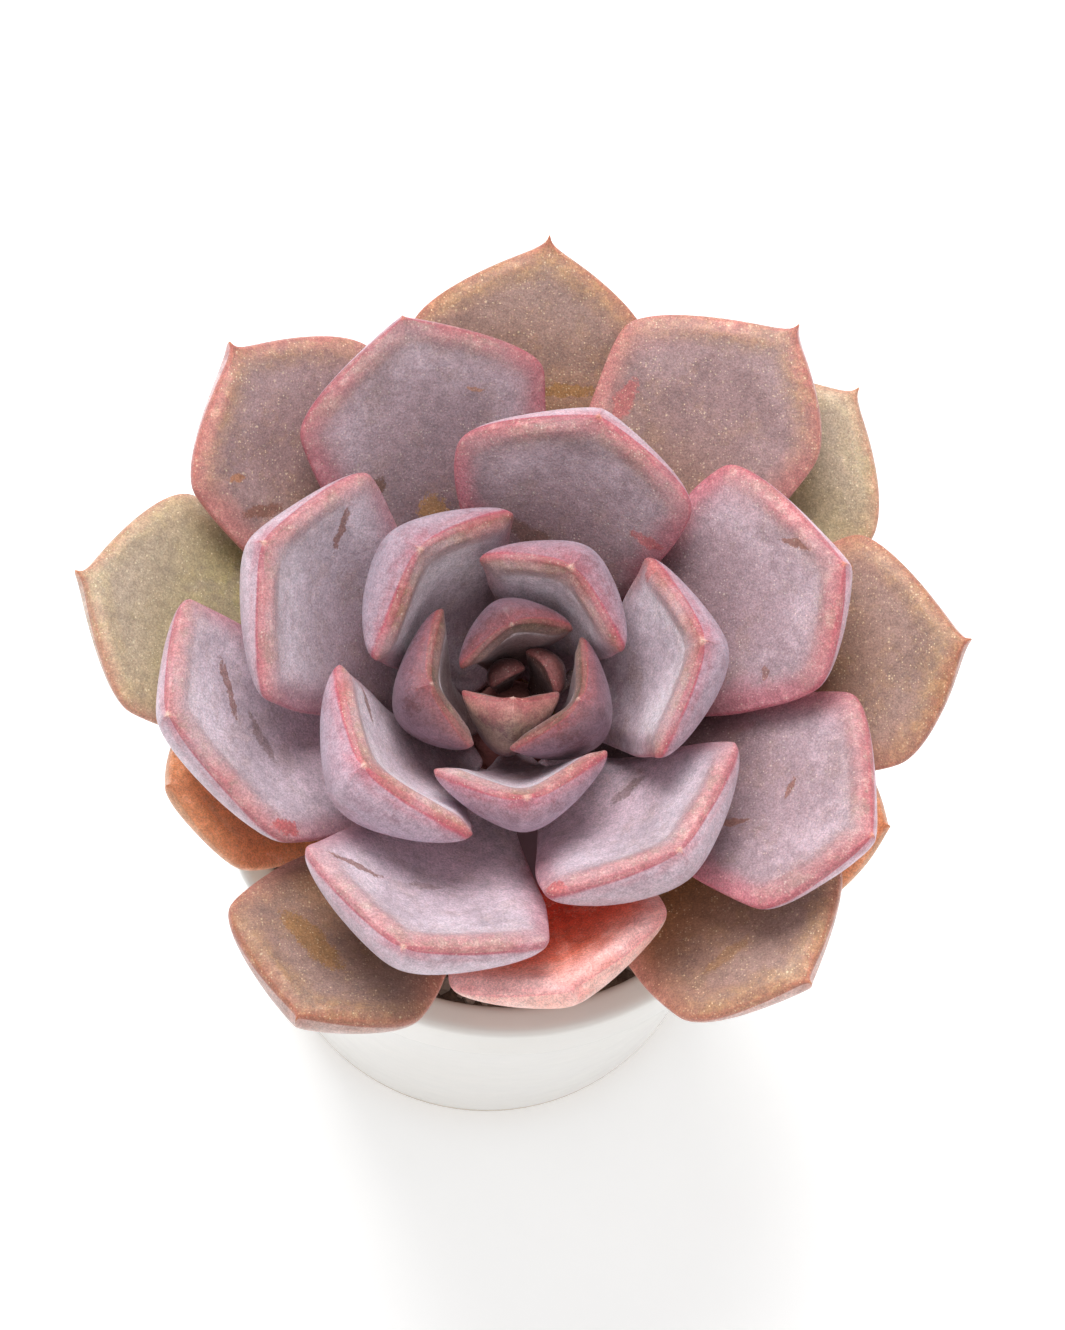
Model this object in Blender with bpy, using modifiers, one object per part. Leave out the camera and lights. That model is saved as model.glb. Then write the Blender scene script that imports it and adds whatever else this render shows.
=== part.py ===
"""A rosette succulent growing in a plain round pot.

Metres, +Z up. The origin is the centre of the pot's flat foot, which stands on Z = 0.
The plant is a short stem that carries one leaf after another, each about a golden angle on
from the last, from the tight heart at the top down to the oldest leaf at the soil.
"""

import math
from typing import NamedTuple

import bmesh
import bpy
from mathutils import Matrix, Vector

GAP = 0.0003  # clearance between neighbouring pieces

# Pot: a turned, slightly tapered vessel with a rolled rim and a flat foot.
POT_HEIGHT = 0.063
RIM_RADIUS = 0.0335
RIM_HEIGHT = 0.009
RIM_STEP = 0.0012
FOOT_RADIUS = 0.0265
WALL = 0.0028
FLOOR_THICKNESS = 0.0040
POT_SIDES = 48
DRAIN_HOLES = 4
DRAIN_RADIUS = 0.0028
DRAIN_CIRCLE = 0.0150
DRAIN_SIDES = 16
POT_CHAMFER = 0.0010
FLOOR_COVE = 0.0030  # slope between the pot's floor and its wall

# Soil: fills the pot to a little below the rim and domes up towards the stem.
SOIL_TOP = 0.0540
SOIL_CROWN = 0.0570
SOIL_FLOOR_GAP = 0.0006

# Stem: a short trunk with a root stub below and a domed growing point above.
STEM_FOOT = 0.0300
STEM_RADIUS = 0.0050
STEM_SIDES = 20
ROOT_LENGTH = 0.0120  # the stem narrows to a root stub over this length
ROOT_TAPER = 0.35  # radius of the root's end, as a share of the stem's
LOWEST_LEAF = 0.0625
LEAF_PITCH = 0.00060
DOME_LEAVES = 12  # the youngest leaves sit on the dome, the others on the trunk's side
DOME_RISE = 0.0001  # how far the dome's profile stands above the leaf bases, and its top
DOME_TOP_RISE = 0.0003

# Leaf: the same plan for all, scaled by each leaf's own sizes.
SHOULDER = 0.77  # where along its length a leaf is widest
BELLY = 0.60  # where along its length it is thickest
HOLLOW = 0.60  # where along its length its fold is fully grown
WIDENING = 0.65  # slopes at the base with which the width, the thickness and the fold grow
THICKENING = 0.8
FOLDING = 0.3
BASE_HALF_WIDTH = 0.0008  # of a leaf without width, to which comes BASE_SHARE of its width
BASE_SHARE = 0.055
BASE_THICKNESS = 0.0014
BOW_POWER = 2.8  # how late the blade thins towards its tip
YOUNG_BOW = 0.55  # how bluntly the youngest leaf ends, and how much more sharply the oldest one
BOW_AGEING = 0.40
BACK_POWER = 0.7  # how roundly the back falls away from its keel
EDGE_THICKNESS = 0.0010
THINNEST_EDGE = 0.0002
SHOULDER_POWER = 1.7  # how squarely the blade turns from its shoulders to its tip
SPINE_SHARE = 0.10  # half width of the tip's point, as a share of the blade's
BEVEL_WIDTH = 0.0028
BEVEL_RISE = 0.0009  # how far the face stands above its margin
FOLD_ROUNDING = 0.0025
TIP_POINT = 0.0013  # length of the sharp point of a leaf as wide as STANDARD_WIDTH
STANDARD_WIDTH = 0.026
LEAVES_ON_YOUNG_SKIN = 21
LEAF_STATIONS = (0.0, 0.10, 0.22, 0.36, 0.50, 0.63, 0.75, 0.85, 0.92, 0.97)
TOP_STATIONS = (-0.97, -0.80, -0.42, 0.0, 0.42, 0.80, 0.97)
BACK_STATIONS = (0.88, 0.50, 0.0, -0.50, -0.88)

CREAM = (0.86, 0.85, 0.83)
EARTH = (0.10, 0.065, 0.045)
BARK = (0.36, 0.28, 0.20)
YOUNG_LEAF = (0.50, 0.36, 0.42)
OLD_LEAF = (0.42, 0.31, 0.26)


class Leaf(NamedTuple):
    """One leaf: where its tip is, how wide it is and how it bends."""

    azimuth: float  # compass direction of the tip, degrees from +X towards +Y
    reach: float  # distance of the tip from the stem's axis
    tip_z: float  # height of the tip
    width: float
    curl: float  # how far the midrib bends upwards from base to tip, degrees
    fold: float  # how steeply the two halves rise from the midrib, degrees
    thickness: float
    roll: float = 0.0  # turn of the blade about its midrib at the tip, degrees
    lean: float = 0.0  # share by which the left half is wider, and the right half narrower
    skew: float = 0.0  # how far the left shoulder lies ahead of the right one, as a share


# From the heart outwards.
LEAVES = (
    Leaf(120, 0.0012, 0.0875, 0.0045, 30, 20, 0.0013),
    Leaf(32, 0.0035, 0.0890, 0.0062, 36, 26, 0.0014),
    Leaf(259, 0.0028, 0.0925, 0.0112, 44, 38, 0.0026, 14),
    Leaf(99, 0.0044, 0.0948, 0.0136, 50, 30, 0.0028, 15),
    Leaf(329, 0.0072, 0.0950, 0.0158, 50, 38, 0.0032),
    Leaf(194, 0.0095, 0.0950, 0.0168, 50, 30, 0.0038, 4, -0.15),
    Leaf(62, 0.0114, 0.0980, 0.0195, 49, 25, 0.0043, -8),
    Leaf(273, 0.0152, 0.0960, 0.0198, 38, 30, 0.0032, 5),
    Leaf(132, 0.0160, 0.0980, 0.0238, 56, 19, 0.0055, 10),
    Leaf(6, 0.0198, 0.0980, 0.0240, 46, 22, 0.0046, -5),
    Leaf(217, 0.0208, 0.0980, 0.0250, 50, 23, 0.0055),
    Leaf(73, 0.0297, 0.0970, 0.0275, 38, 14, 0.0052, 0, 0.06),
    Leaf(310, 0.0270, 0.0950, 0.0280, 38, 16, 0.0054),
    Leaf(155, 0.0308, 0.0970, 0.0295, 42, 16, 0.0057, 4, 0.03),
    Leaf(19, 0.0380, 0.0950, 0.0285, 26, 8, 0.0052, 0, 0.20),
    Leaf(249, 0.0346, 0.0960, 0.0290, 35, 16, 0.0052),
    Leaf(107, 0.0440, 0.0920, 0.0295, 24, 8, 0.0050, 4, 0.03),
    Leaf(336, 0.0427, 0.0900, 0.0275, 20, 8, 0.0048, 0, 0.15),
    Leaf(188, 0.0385, 0.0920, 0.0285, 38, 12, 0.0052, 5, 0, -0.13),
    Leaf(53, 0.0525, 0.0920, 0.0270, 20, 6, 0.0054, 0, 0.22),
    Leaf(280, 0.0354, 0.0885, 0.0255, 43, 10, 0.0040, 10, 0, -0.05),
    Leaf(129, 0.0512, 0.0890, 0.0282, 33, 4, 0.0050, 11, -0.04),
    Leaf(7, 0.0510, 0.0880, 0.0272, 23, 4, 0.0048, 7, 0.13),
    Leaf(238, 0.0448, 0.0865, 0.0250, 25, 6, 0.0048, 4, -0.12),
    Leaf(86, 0.0541, 0.0880, 0.0278, 27, 4, 0.0048, 0, 0.09),
    Leaf(315, 0.0460, 0.0840, 0.0260, 30, 4, 0.0042, 2, 0.08),
    Leaf(164, 0.0510, 0.0840, 0.0284, 25, 4, 0.0042, 10, -0.07),
    Leaf(44, 0.0545, 0.0835, 0.0265, 25, 2, 0.0044),
    Leaf(258, 0.0220, 0.0665, 0.0170, 6, 4, 0.0028),
    Leaf(116, 0.0260, 0.0668, 0.0170, 6, 4, 0.0028),
    Leaf(343, 0.0440, 0.0790, 0.0205, 54, 4, 0.0030, 8),
    Leaf(193, 0.0395, 0.0775, 0.0205, 54, 4, 0.0030, 10),
)


def attachment(number):
    """Distance from the axis and height at which leaf number (0 is the youngest) joins the stem."""
    spread = min(1.0, math.sqrt((number + 1) / DOME_LEAVES))
    height = LOWEST_LEAF + LEAF_PITCH * (len(LEAVES) - 1 - number)
    return STEM_RADIUS * spread + GAP, height


def ease(x, start_slope=0.0):
    """Smooth rise from 0 to 1 that ends level and starts with the given slope."""
    x = min(1.0, max(0.0, x))
    return x * x * (3 - 2 * x) + start_slope * x * (1 - x) ** 2


class Blade:
    """The surface of one leaf, as a function of the place along it and across it."""

    def __init__(self, leaf, number):
        self.leaf = leaf
        base_r, base_z = attachment(number)
        self.base = Vector((base_r, base_z))
        chord = Vector((leaf.reach, leaf.tip_z)) - self.base
        self.curl = math.radians(leaf.curl)
        half = self.curl / 2
        self.start = math.atan2(chord.y, chord.x) - half
        self.length = chord.length * half / math.sin(half)
        self.half_width = leaf.width / 2
        self.base_half_width = BASE_HALF_WIDTH + BASE_SHARE * leaf.width
        self.base_thickness = min(BASE_THICKNESS, 0.5 * leaf.thickness)
        self.taper = YOUNG_BOW + BOW_AGEING * number / len(LEAVES)
        self.point = TIP_POINT * leaf.width / STANDARD_WIDTH / self.length

    def width_at(self, u):
        """Half width of the blade at u, from 0 at the base to 1 at the tip."""
        if u < SHOULDER:
            grow = ease(u / SHOULDER, WIDENING)
            return self.base_half_width + (self.half_width - self.base_half_width) * grow
        d = min(1.0, (u - SHOULDER) / (1 - self.point - SHOULDER))
        blade = self.half_width * (1 - d**SHOULDER_POWER)
        spine = SPINE_SHARE * self.half_width * min(1.0, max(0.0, (1 - u) / (3 * self.point)))
        return math.hypot(blade, spine)

    def thickness_at(self, u):
        """Depth of the blade at u, which is blunt at the tip like the bow of a boat."""
        if u < BELLY:
            gain = self.leaf.thickness - self.base_thickness
            return self.base_thickness + gain * ease(u / BELLY, THICKENING)
        d = min(1.0, (u - BELLY) / (1 - BELLY))
        return self.leaf.thickness * (1 - d**BOW_POWER) ** self.taper

    def frame_at(self, u):
        """Point on the midrib with the forward, sideways and upward directions there."""
        angle = self.start + self.curl * u
        radius = self.length / self.curl
        r = self.base.x + radius * (math.sin(angle) - math.sin(self.start))
        z = self.base.y - radius * (math.cos(angle) - math.cos(self.start))
        forward = Vector((math.cos(angle), 0, math.sin(angle)))
        turn = Matrix.Rotation(math.radians(self.leaf.roll) * u, 3, forward)
        across = turn @ Vector((0, 1, 0))
        upward = turn @ Vector((-math.sin(angle), 0, math.cos(angle)))
        return Vector((r, 0, z)), across, upward

    def surface(self, u, x, on_back):
        """Point of the upper face, or of the back, at u along and x from -1 to 1 across."""
        centre, across, upward = self.frame_at(u + self.leaf.skew * x * math.sin(math.pi * u**1.5))
        half = self.width_at(u)
        s = x * half * (1 + math.copysign(1, x) * self.leaf.lean)
        fold = math.tan(math.radians(self.leaf.fold)) * ease(u / HOLLOW, FOLDING)
        lift = fold * (math.hypot(s, FOLD_ROUNDING) - FOLD_ROUNDING)
        room = min(1.0, half / (2 * BEVEL_WIDTH))
        inset = half * (1 - abs(x))
        crown = room * BEVEL_RISE * ease(inset / BEVEL_WIDTH)
        edge = min(EDGE_THICKNESS, 0.6 * self.thickness_at(u) + THINNEST_EDGE)
        depth = self.thickness_at(u) * max(0.0, 1 - x * x) ** BACK_POWER
        height = lift - edge - depth if on_back else lift + crown
        return centre + across * s + upward * height

    def margin(self, u, side):
        """Point on the rounded edge of the blade, half way down it."""
        top = self.surface(u, side, False)
        back = self.surface(u, side, True)
        return (top + back) / 2

    def section(self, u):
        """Closed loop of points round the blade at u."""
        loop = [self.surface(u, x, False) for x in TOP_STATIONS]
        loop.append(self.margin(u, 1.0))
        loop += [self.surface(u, x, True) for x in BACK_STATIONS]
        loop.append(self.margin(u, -1.0))
        return loop


def material(name, colour, roughness):
    """A plain Principled material."""
    made = bpy.data.materials.new(name)
    made.use_nodes = True
    shader = made.node_tree.nodes["Principled BSDF"]
    shader.inputs["Base Color"].default_value = (*colour, 1)
    shader.inputs["Roughness"].default_value = roughness
    shader.inputs["Metallic"].default_value = 0.0
    return made


def new_object(name, mesh, finish, collection):
    """An object for a mesh, with its material, in a collection."""
    made = bpy.data.objects.new(name, mesh)
    mesh.materials.append(finish)
    collection.objects.link(made)
    return made


def turned(name, profile, sides, finish, collection):
    """A solid of revolution about Z: the profile runs down its outer side and back up inside."""
    mesh = bpy.data.meshes.new(name)
    points = [(r, 0.0, z) for r, z in profile]
    mesh.from_pydata(points, [(i, i + 1) for i in range(len(points) - 1)], [])
    made = new_object(name, mesh, finish, collection)
    screw = made.modifiers.new("turn", "SCREW")
    screw.axis = "Z"
    screw.steps = sides
    screw.render_steps = sides
    screw.use_merge_vertices = True
    screw.merge_threshold = 0.00005
    screw.use_smooth_shade = True
    return made


def build_leaf(leaf, number, finish, parent, collection):
    """One leaf as a loft through its sections, closed by its base and its tip."""
    blade = Blade(leaf, number)
    bm = bmesh.new()
    rings = [[bm.verts.new(p) for p in blade.section(u)] for u in LEAF_STATIONS]
    count = len(rings[0])
    for near, far in zip(rings, rings[1:]):
        for i in range(count):
            j = (i + 1) % count
            bm.faces.new((near[i], near[j], far[j], far[i]))
    bm.faces.new(list(reversed(rings[0])))
    tip = bm.verts.new(blade.margin(1.0, 0.0))
    for i in range(count):
        bm.faces.new((rings[-1][i], rings[-1][(i + 1) % count], tip))
    bmesh.ops.recalc_face_normals(bm, faces=bm.faces)
    name = f"leaf_{number + 1:02d}"
    mesh = bpy.data.meshes.new(name)
    bm.to_mesh(mesh)
    bm.free()
    made = new_object(name, mesh, finish, collection)
    made.rotation_euler.z = math.radians(leaf.azimuth)
    made.parent = parent
    mesh.shade_smooth()
    return made


def outer_wall(z):
    """Outer radius of the pot below its rim at height z."""
    return FOOT_RADIUS + (RIM_RADIUS - RIM_STEP - FOOT_RADIUS) * z / POT_HEIGHT


def inner_wall(z):
    """Inner radius of the pot at height z."""
    return outer_wall(z) - WALL


def soil_wall(z):
    """Outer radius of the soil at height z."""
    return inner_wall(z) - GAP


def build_pot(finish, collection, cutters):
    """The pot, with its drain holes cut through the floor."""
    under_rim = POT_HEIGHT - RIM_HEIGHT
    top = (inner_wall(POT_HEIGHT) + 0.8 * POT_CHAMFER, POT_HEIGHT)
    outside = [
        top,
        (RIM_RADIUS - POT_CHAMFER, POT_HEIGHT),
        (RIM_RADIUS, POT_HEIGHT - POT_CHAMFER),
        (RIM_RADIUS, under_rim + POT_CHAMFER),
        (outer_wall(under_rim), under_rim),
        (outer_wall(POT_CHAMFER), POT_CHAMFER),
        (FOOT_RADIUS - POT_CHAMFER, 0.0),
        (0.0, 0.0),
    ]
    hollow = [
        (0.0, FLOOR_THICKNESS),
        (inner_wall(FLOOR_THICKNESS) - FLOOR_COVE, FLOOR_THICKNESS),
        (inner_wall(FLOOR_THICKNESS + FLOOR_COVE), FLOOR_THICKNESS + FLOOR_COVE),
        (inner_wall(POT_HEIGHT - POT_CHAMFER), POT_HEIGHT - POT_CHAMFER),
        top,
    ]
    pot = turned("pot", outside + hollow, POT_SIDES, finish, collection)
    for k in range(DRAIN_HOLES):
        turn = math.tau * (k + 0.5) / DRAIN_HOLES
        bpy.ops.mesh.primitive_cylinder_add(
            vertices=DRAIN_SIDES,
            radius=DRAIN_RADIUS,
            depth=3 * FLOOR_THICKNESS,
            location=(DRAIN_CIRCLE * math.cos(turn), DRAIN_CIRCLE * math.sin(turn), 0.0),
        )
        cutter = bpy.context.object
        cutter.name = f"drain_cutter_{k + 1}"
        move_to(cutter, cutters)
        cutter.hide_render = True
        cutter.display_type = "WIRE"
        hole = pot.modifiers.new(f"drain_{k + 1}", "BOOLEAN")
        hole.operation = "DIFFERENCE"
        hole.object = cutter
    return pot


def build_soil(finish, collection):
    """The soil, which fills the pot and has a socket for the stem."""
    socket = STEM_RADIUS + GAP
    floor = FLOOR_THICKNESS + SOIL_FLOOR_GAP
    profile = [
        (socket, SOIL_CROWN),
        (0.5 * soil_wall(SOIL_TOP), 0.4 * SOIL_CROWN + 0.6 * SOIL_TOP),
        (soil_wall(SOIL_TOP), SOIL_TOP),
        (soil_wall(floor + FLOOR_COVE), floor + FLOOR_COVE),
        (soil_wall(floor) - FLOOR_COVE, floor),
        (0.0, floor),
    ]
    root = [
        (0.0, STEM_FOOT - GAP),
        (ROOT_TAPER * STEM_RADIUS + GAP, STEM_FOOT - GAP),
        (socket, STEM_FOOT + ROOT_LENGTH),
        (socket, SOIL_CROWN),
    ]
    return turned("soil", profile + root, POT_SIDES, finish, collection)


def build_stem(finish, collection):
    """The trunk, whose dome passes just inside every leaf base."""
    dome = [
        (attachment(n)[0] - GAP, attachment(n)[1] + DOME_RISE)
        for n in range(0, DOME_LEAVES, 2)
    ]
    top = attachment(0)[1] + DOME_TOP_RISE
    profile = [
        (0.0, top),
        *dome,
        (STEM_RADIUS, attachment(DOME_LEAVES)[1]),
        (STEM_RADIUS, STEM_FOOT + ROOT_LENGTH),
        (ROOT_TAPER * STEM_RADIUS, STEM_FOOT),
        (0.0, STEM_FOOT),
    ]
    return turned("stem", profile, STEM_SIDES, finish, collection)


def move_to(made, collection):
    """Puts an object in one collection only."""
    for holder in made.users_collection:
        holder.objects.unlink(made)
    collection.objects.link(made)


def main():
    for old in list(bpy.data.objects):
        bpy.data.objects.remove(old)
    scene = bpy.context.scene
    parts = bpy.data.collections.new("potted_succulent")
    cutters = bpy.data.collections.new("cutters")
    scene.collection.children.link(parts)
    scene.collection.children.link(cutters)
    cutters.hide_render = True

    build_pot(material("glaze", CREAM, 0.35), parts, cutters)
    build_soil(material("earth", EARTH, 0.95), parts)
    build_stem(material("bark", BARK, 0.8), parts)

    rosette = bpy.data.objects.new("rosette", None)
    parts.objects.link(rosette)
    young = material("young_leaf", YOUNG_LEAF, 0.55)
    old = material("old_leaf", OLD_LEAF, 0.55)
    for number, leaf in enumerate(LEAVES):
        finish = young if number < LEAVES_ON_YOUNG_SKIN else old
        build_leaf(leaf, number, finish, rosette, parts)


main()
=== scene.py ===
"""A rosette succulent in a plain round pot: the finished surfaces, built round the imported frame.

Metres, +Z up, in the frame's own coordinates. The leaves, the pot, the soil and the trunk hold
the same sizes as the frame's own parts, as fields of their classes, and are drawn finer.
"""
import logging
import math
from dataclasses import dataclass, field, replace
from enum import Enum

import bmesh
import bpy
import numpy as np
from mathutils import Matrix, Vector, noise


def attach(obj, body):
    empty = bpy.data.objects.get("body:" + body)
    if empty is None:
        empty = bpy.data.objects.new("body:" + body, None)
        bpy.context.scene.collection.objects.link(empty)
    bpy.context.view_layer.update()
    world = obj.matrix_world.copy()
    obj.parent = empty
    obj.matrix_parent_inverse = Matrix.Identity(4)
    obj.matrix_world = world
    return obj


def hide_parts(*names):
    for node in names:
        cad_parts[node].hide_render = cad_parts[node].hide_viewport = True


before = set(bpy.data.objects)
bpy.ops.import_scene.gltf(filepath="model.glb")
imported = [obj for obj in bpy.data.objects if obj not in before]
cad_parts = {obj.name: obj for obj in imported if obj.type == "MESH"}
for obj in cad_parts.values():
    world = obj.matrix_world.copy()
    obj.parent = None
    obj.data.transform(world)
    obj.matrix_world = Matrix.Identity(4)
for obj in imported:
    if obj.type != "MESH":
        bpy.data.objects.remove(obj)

log = logging.getLogger("succulent")

Rgb = tuple[float, float, float]
Place = tuple[float, float, float]
Feed = bpy.types.NodeSocket | float | Rgb  # what a node's input can be given
MM = 0.001  # metres in a millimetre


# ------------------------------------------------------------------ small helpers


def clear_selection() -> None:
    """Leaves object mode with nothing selected."""
    if bpy.context.object and bpy.context.object.mode != "OBJECT":
        bpy.ops.object.mode_set(mode="OBJECT")
    bpy.ops.object.select_all(action="DESELECT")


def make_active(piece: bpy.types.Object) -> None:
    """Selects one object alone and makes it the active one.

    Args:
        piece: the object.
    """
    clear_selection()
    piece.select_set(True)
    bpy.context.view_layer.objects.active = piece


def apply_modifier(piece: bpy.types.Object, kind: str, **settings: object) -> None:
    """Adds a modifier with its settings and applies it.

    Args:
        piece: the object it works on.
        kind: the modifier's type.
        **settings: the modifier's properties.
    """
    make_active(piece)
    modifier = piece.modifiers.new(kind.lower(), kind)
    for name, value in settings.items():
        setattr(modifier, name, value)
    bpy.ops.object.modifier_apply(modifier=modifier.name)


def edit(piece: bpy.types.Object) -> bmesh.types.BMesh:
    """Enters edit mode on a piece.

    Args:
        piece: the object to edit.

    Returns:
        Its edit mesh, with nothing selected.
    """
    make_active(piece)
    bpy.ops.object.mode_set(mode="EDIT")
    bpy.ops.mesh.select_all(action="DESELECT")
    return bmesh.from_edit_mesh(piece.data)


def settle(piece: bpy.types.Object) -> None:
    """Applies the object's own place, turn and scale to its mesh."""
    make_active(piece)
    bpy.ops.object.transform_apply(location=True, rotation=True, scale=True)


def dress(piece: bpy.types.Object, finish: bpy.types.Material) -> None:
    """Gives a piece its only material."""
    piece.data.materials.clear()
    piece.data.materials.append(finish)


def enlist(piece: bpy.types.Object, slot: str, *nodes: str) -> None:
    """Puts a piece on the plant's one body, in place of its frame nodes, and reports it.

    Args:
        piece: the finished piece.
        slot: the record's material slot; not used.
        *nodes: the frame nodes that it replaces.
    """
    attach(piece, "root")
    if nodes:
        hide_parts(*nodes)
    log.info("%s: %d faces, replaces %s", piece.name, len(piece.data.polygons), nodes or "nothing")


def ease(x: float, start_slope: float = 0.0) -> float:
    """Smooth rise from 0 to 1 that ends level and starts with the given slope."""
    x = min(1.0, max(0.0, x))
    return x * x * (3 - 2 * x) + start_slope * x * (1 - x) ** 2


# ------------------------------------------------------------------ shader effects


class Tree:
    """A short way to write a node tree: every call adds a node and returns the socket it gives."""

    def __init__(self, tree: bpy.types.NodeTree) -> None:
        """Keeps the tree that the nodes are added to."""
        self.tree = tree

    def node(self, kind: str, inputs: dict | None = None, **settings: object) -> bpy.types.Node:
        """Adds a node.

        Args:
            kind: the node's type.
            inputs: values or sockets for its inputs, by name or place.
            **settings: the node's properties.

        Returns:
            The new node.
        """
        made = self.tree.nodes.new(kind)
        for name, value in settings.items():
            setattr(made, name, value)
        for key, value in (inputs or {}).items():
            socket = made.inputs[key]
            if isinstance(value, bpy.types.NodeSocket):
                self.tree.links.new(value, socket)
            elif isinstance(value, tuple) and len(value) == 3 and socket.type == "RGBA":
                socket.default_value = (*value, 1.0)
            else:
                socket.default_value = value
        return made

    def math(
        self, operation: str, a: Feed, b: Feed = 0.0, clamp: bool = False
    ) -> bpy.types.NodeSocket:
        """Adds a Math node on two values or sockets and returns its result."""
        made = self.node("ShaderNodeMath", {0: a, 1: b}, operation=operation, use_clamp=clamp)
        return made.outputs[0]

    def ramp(
        self, value: Feed, low: Feed, high: Feed, to_low: Feed = 0.0, to_high: Feed = 1.0
    ) -> bpy.types.NodeSocket:
        """Maps a value smoothly from one range to another.

        Args:
            value: what is mapped.
            low: the value that gives to_low; it may be above high.
            high: the value that gives to_high.
            to_low: the result at low.
            to_high: the result at high.

        Returns:
            The result.
        """
        made = self.node(
            "ShaderNodeMapRange",
            {
                "Value": value, "From Min": low, "From Max": high,
                "To Min": to_low, "To Max": to_high,
            },
            interpolation_type="SMOOTHSTEP",
        )
        return made.outputs["Result"]

    def blend(
        self, share: Feed, under: Feed, over: Feed, kind: str = "MIX"
    ) -> bpy.types.NodeSocket:
        """Lays one colour over another.

        Args:
            share: how much of the upper colour shows.
            under: the lower colour.
            over: the upper colour.
            kind: the way that they mix.

        Returns:
            The mixed colour.
        """
        made = self.node("ShaderNodeMix", data_type="RGBA", blend_type=kind)
        for place, value in ((0, share), (6, under), (7, over)):
            socket = made.inputs[place]
            if isinstance(value, bpy.types.NodeSocket):
                self.tree.links.new(value, socket)
            elif isinstance(value, tuple):
                socket.default_value = (*value, 1.0)
            else:
                socket.default_value = value
        return made.outputs[2]

    def clouds(
        self, vector: Feed, scale: Feed, detail: float = 3.0, roughness: float = 0.55
    ) -> bpy.types.NodeSocket:
        """Adds a Noise texture.

        Args:
            vector: the place that it reads.
            scale: how fine it is.
            detail: how many finer layers it has.
            roughness: how strong they are.

        Returns:
            Its value.
        """
        made = self.node(
            "ShaderNodeTexNoise",
            {"Vector": vector, "Scale": scale, "Detail": detail, "Roughness": roughness},
        )
        return made.outputs["Fac"]

    def attribute(self, name: str, output: str = "Fac") -> bpy.types.NodeSocket:
        """Reads one of the piece's own attributes."""
        return self.node("ShaderNodeAttribute", attribute_name=name).outputs[output]

    def place(self) -> bpy.types.NodeSocket:
        """Object coordinates."""
        return self.node("ShaderNodeTexCoord").outputs["Object"]

    def group(self, kind: "Effect", **inputs: Feed) -> dict[str, bpy.types.NodeSocket]:
        """Places a shared effect.

        Args:
            kind: the effect.
            **inputs: values or sockets for its inputs, by name.

        Returns:
            Its outputs by name.
        """
        made = self.node("ShaderNodeGroup", node_tree=kind.tree())
        for name, value in inputs.items():
            socket = made.inputs[name.replace("_", " ")]
            if isinstance(value, bpy.types.NodeSocket):
                self.tree.links.new(value, socket)
            else:
                socket.default_value = value
        return {socket.name: socket for socket in made.outputs}


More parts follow.
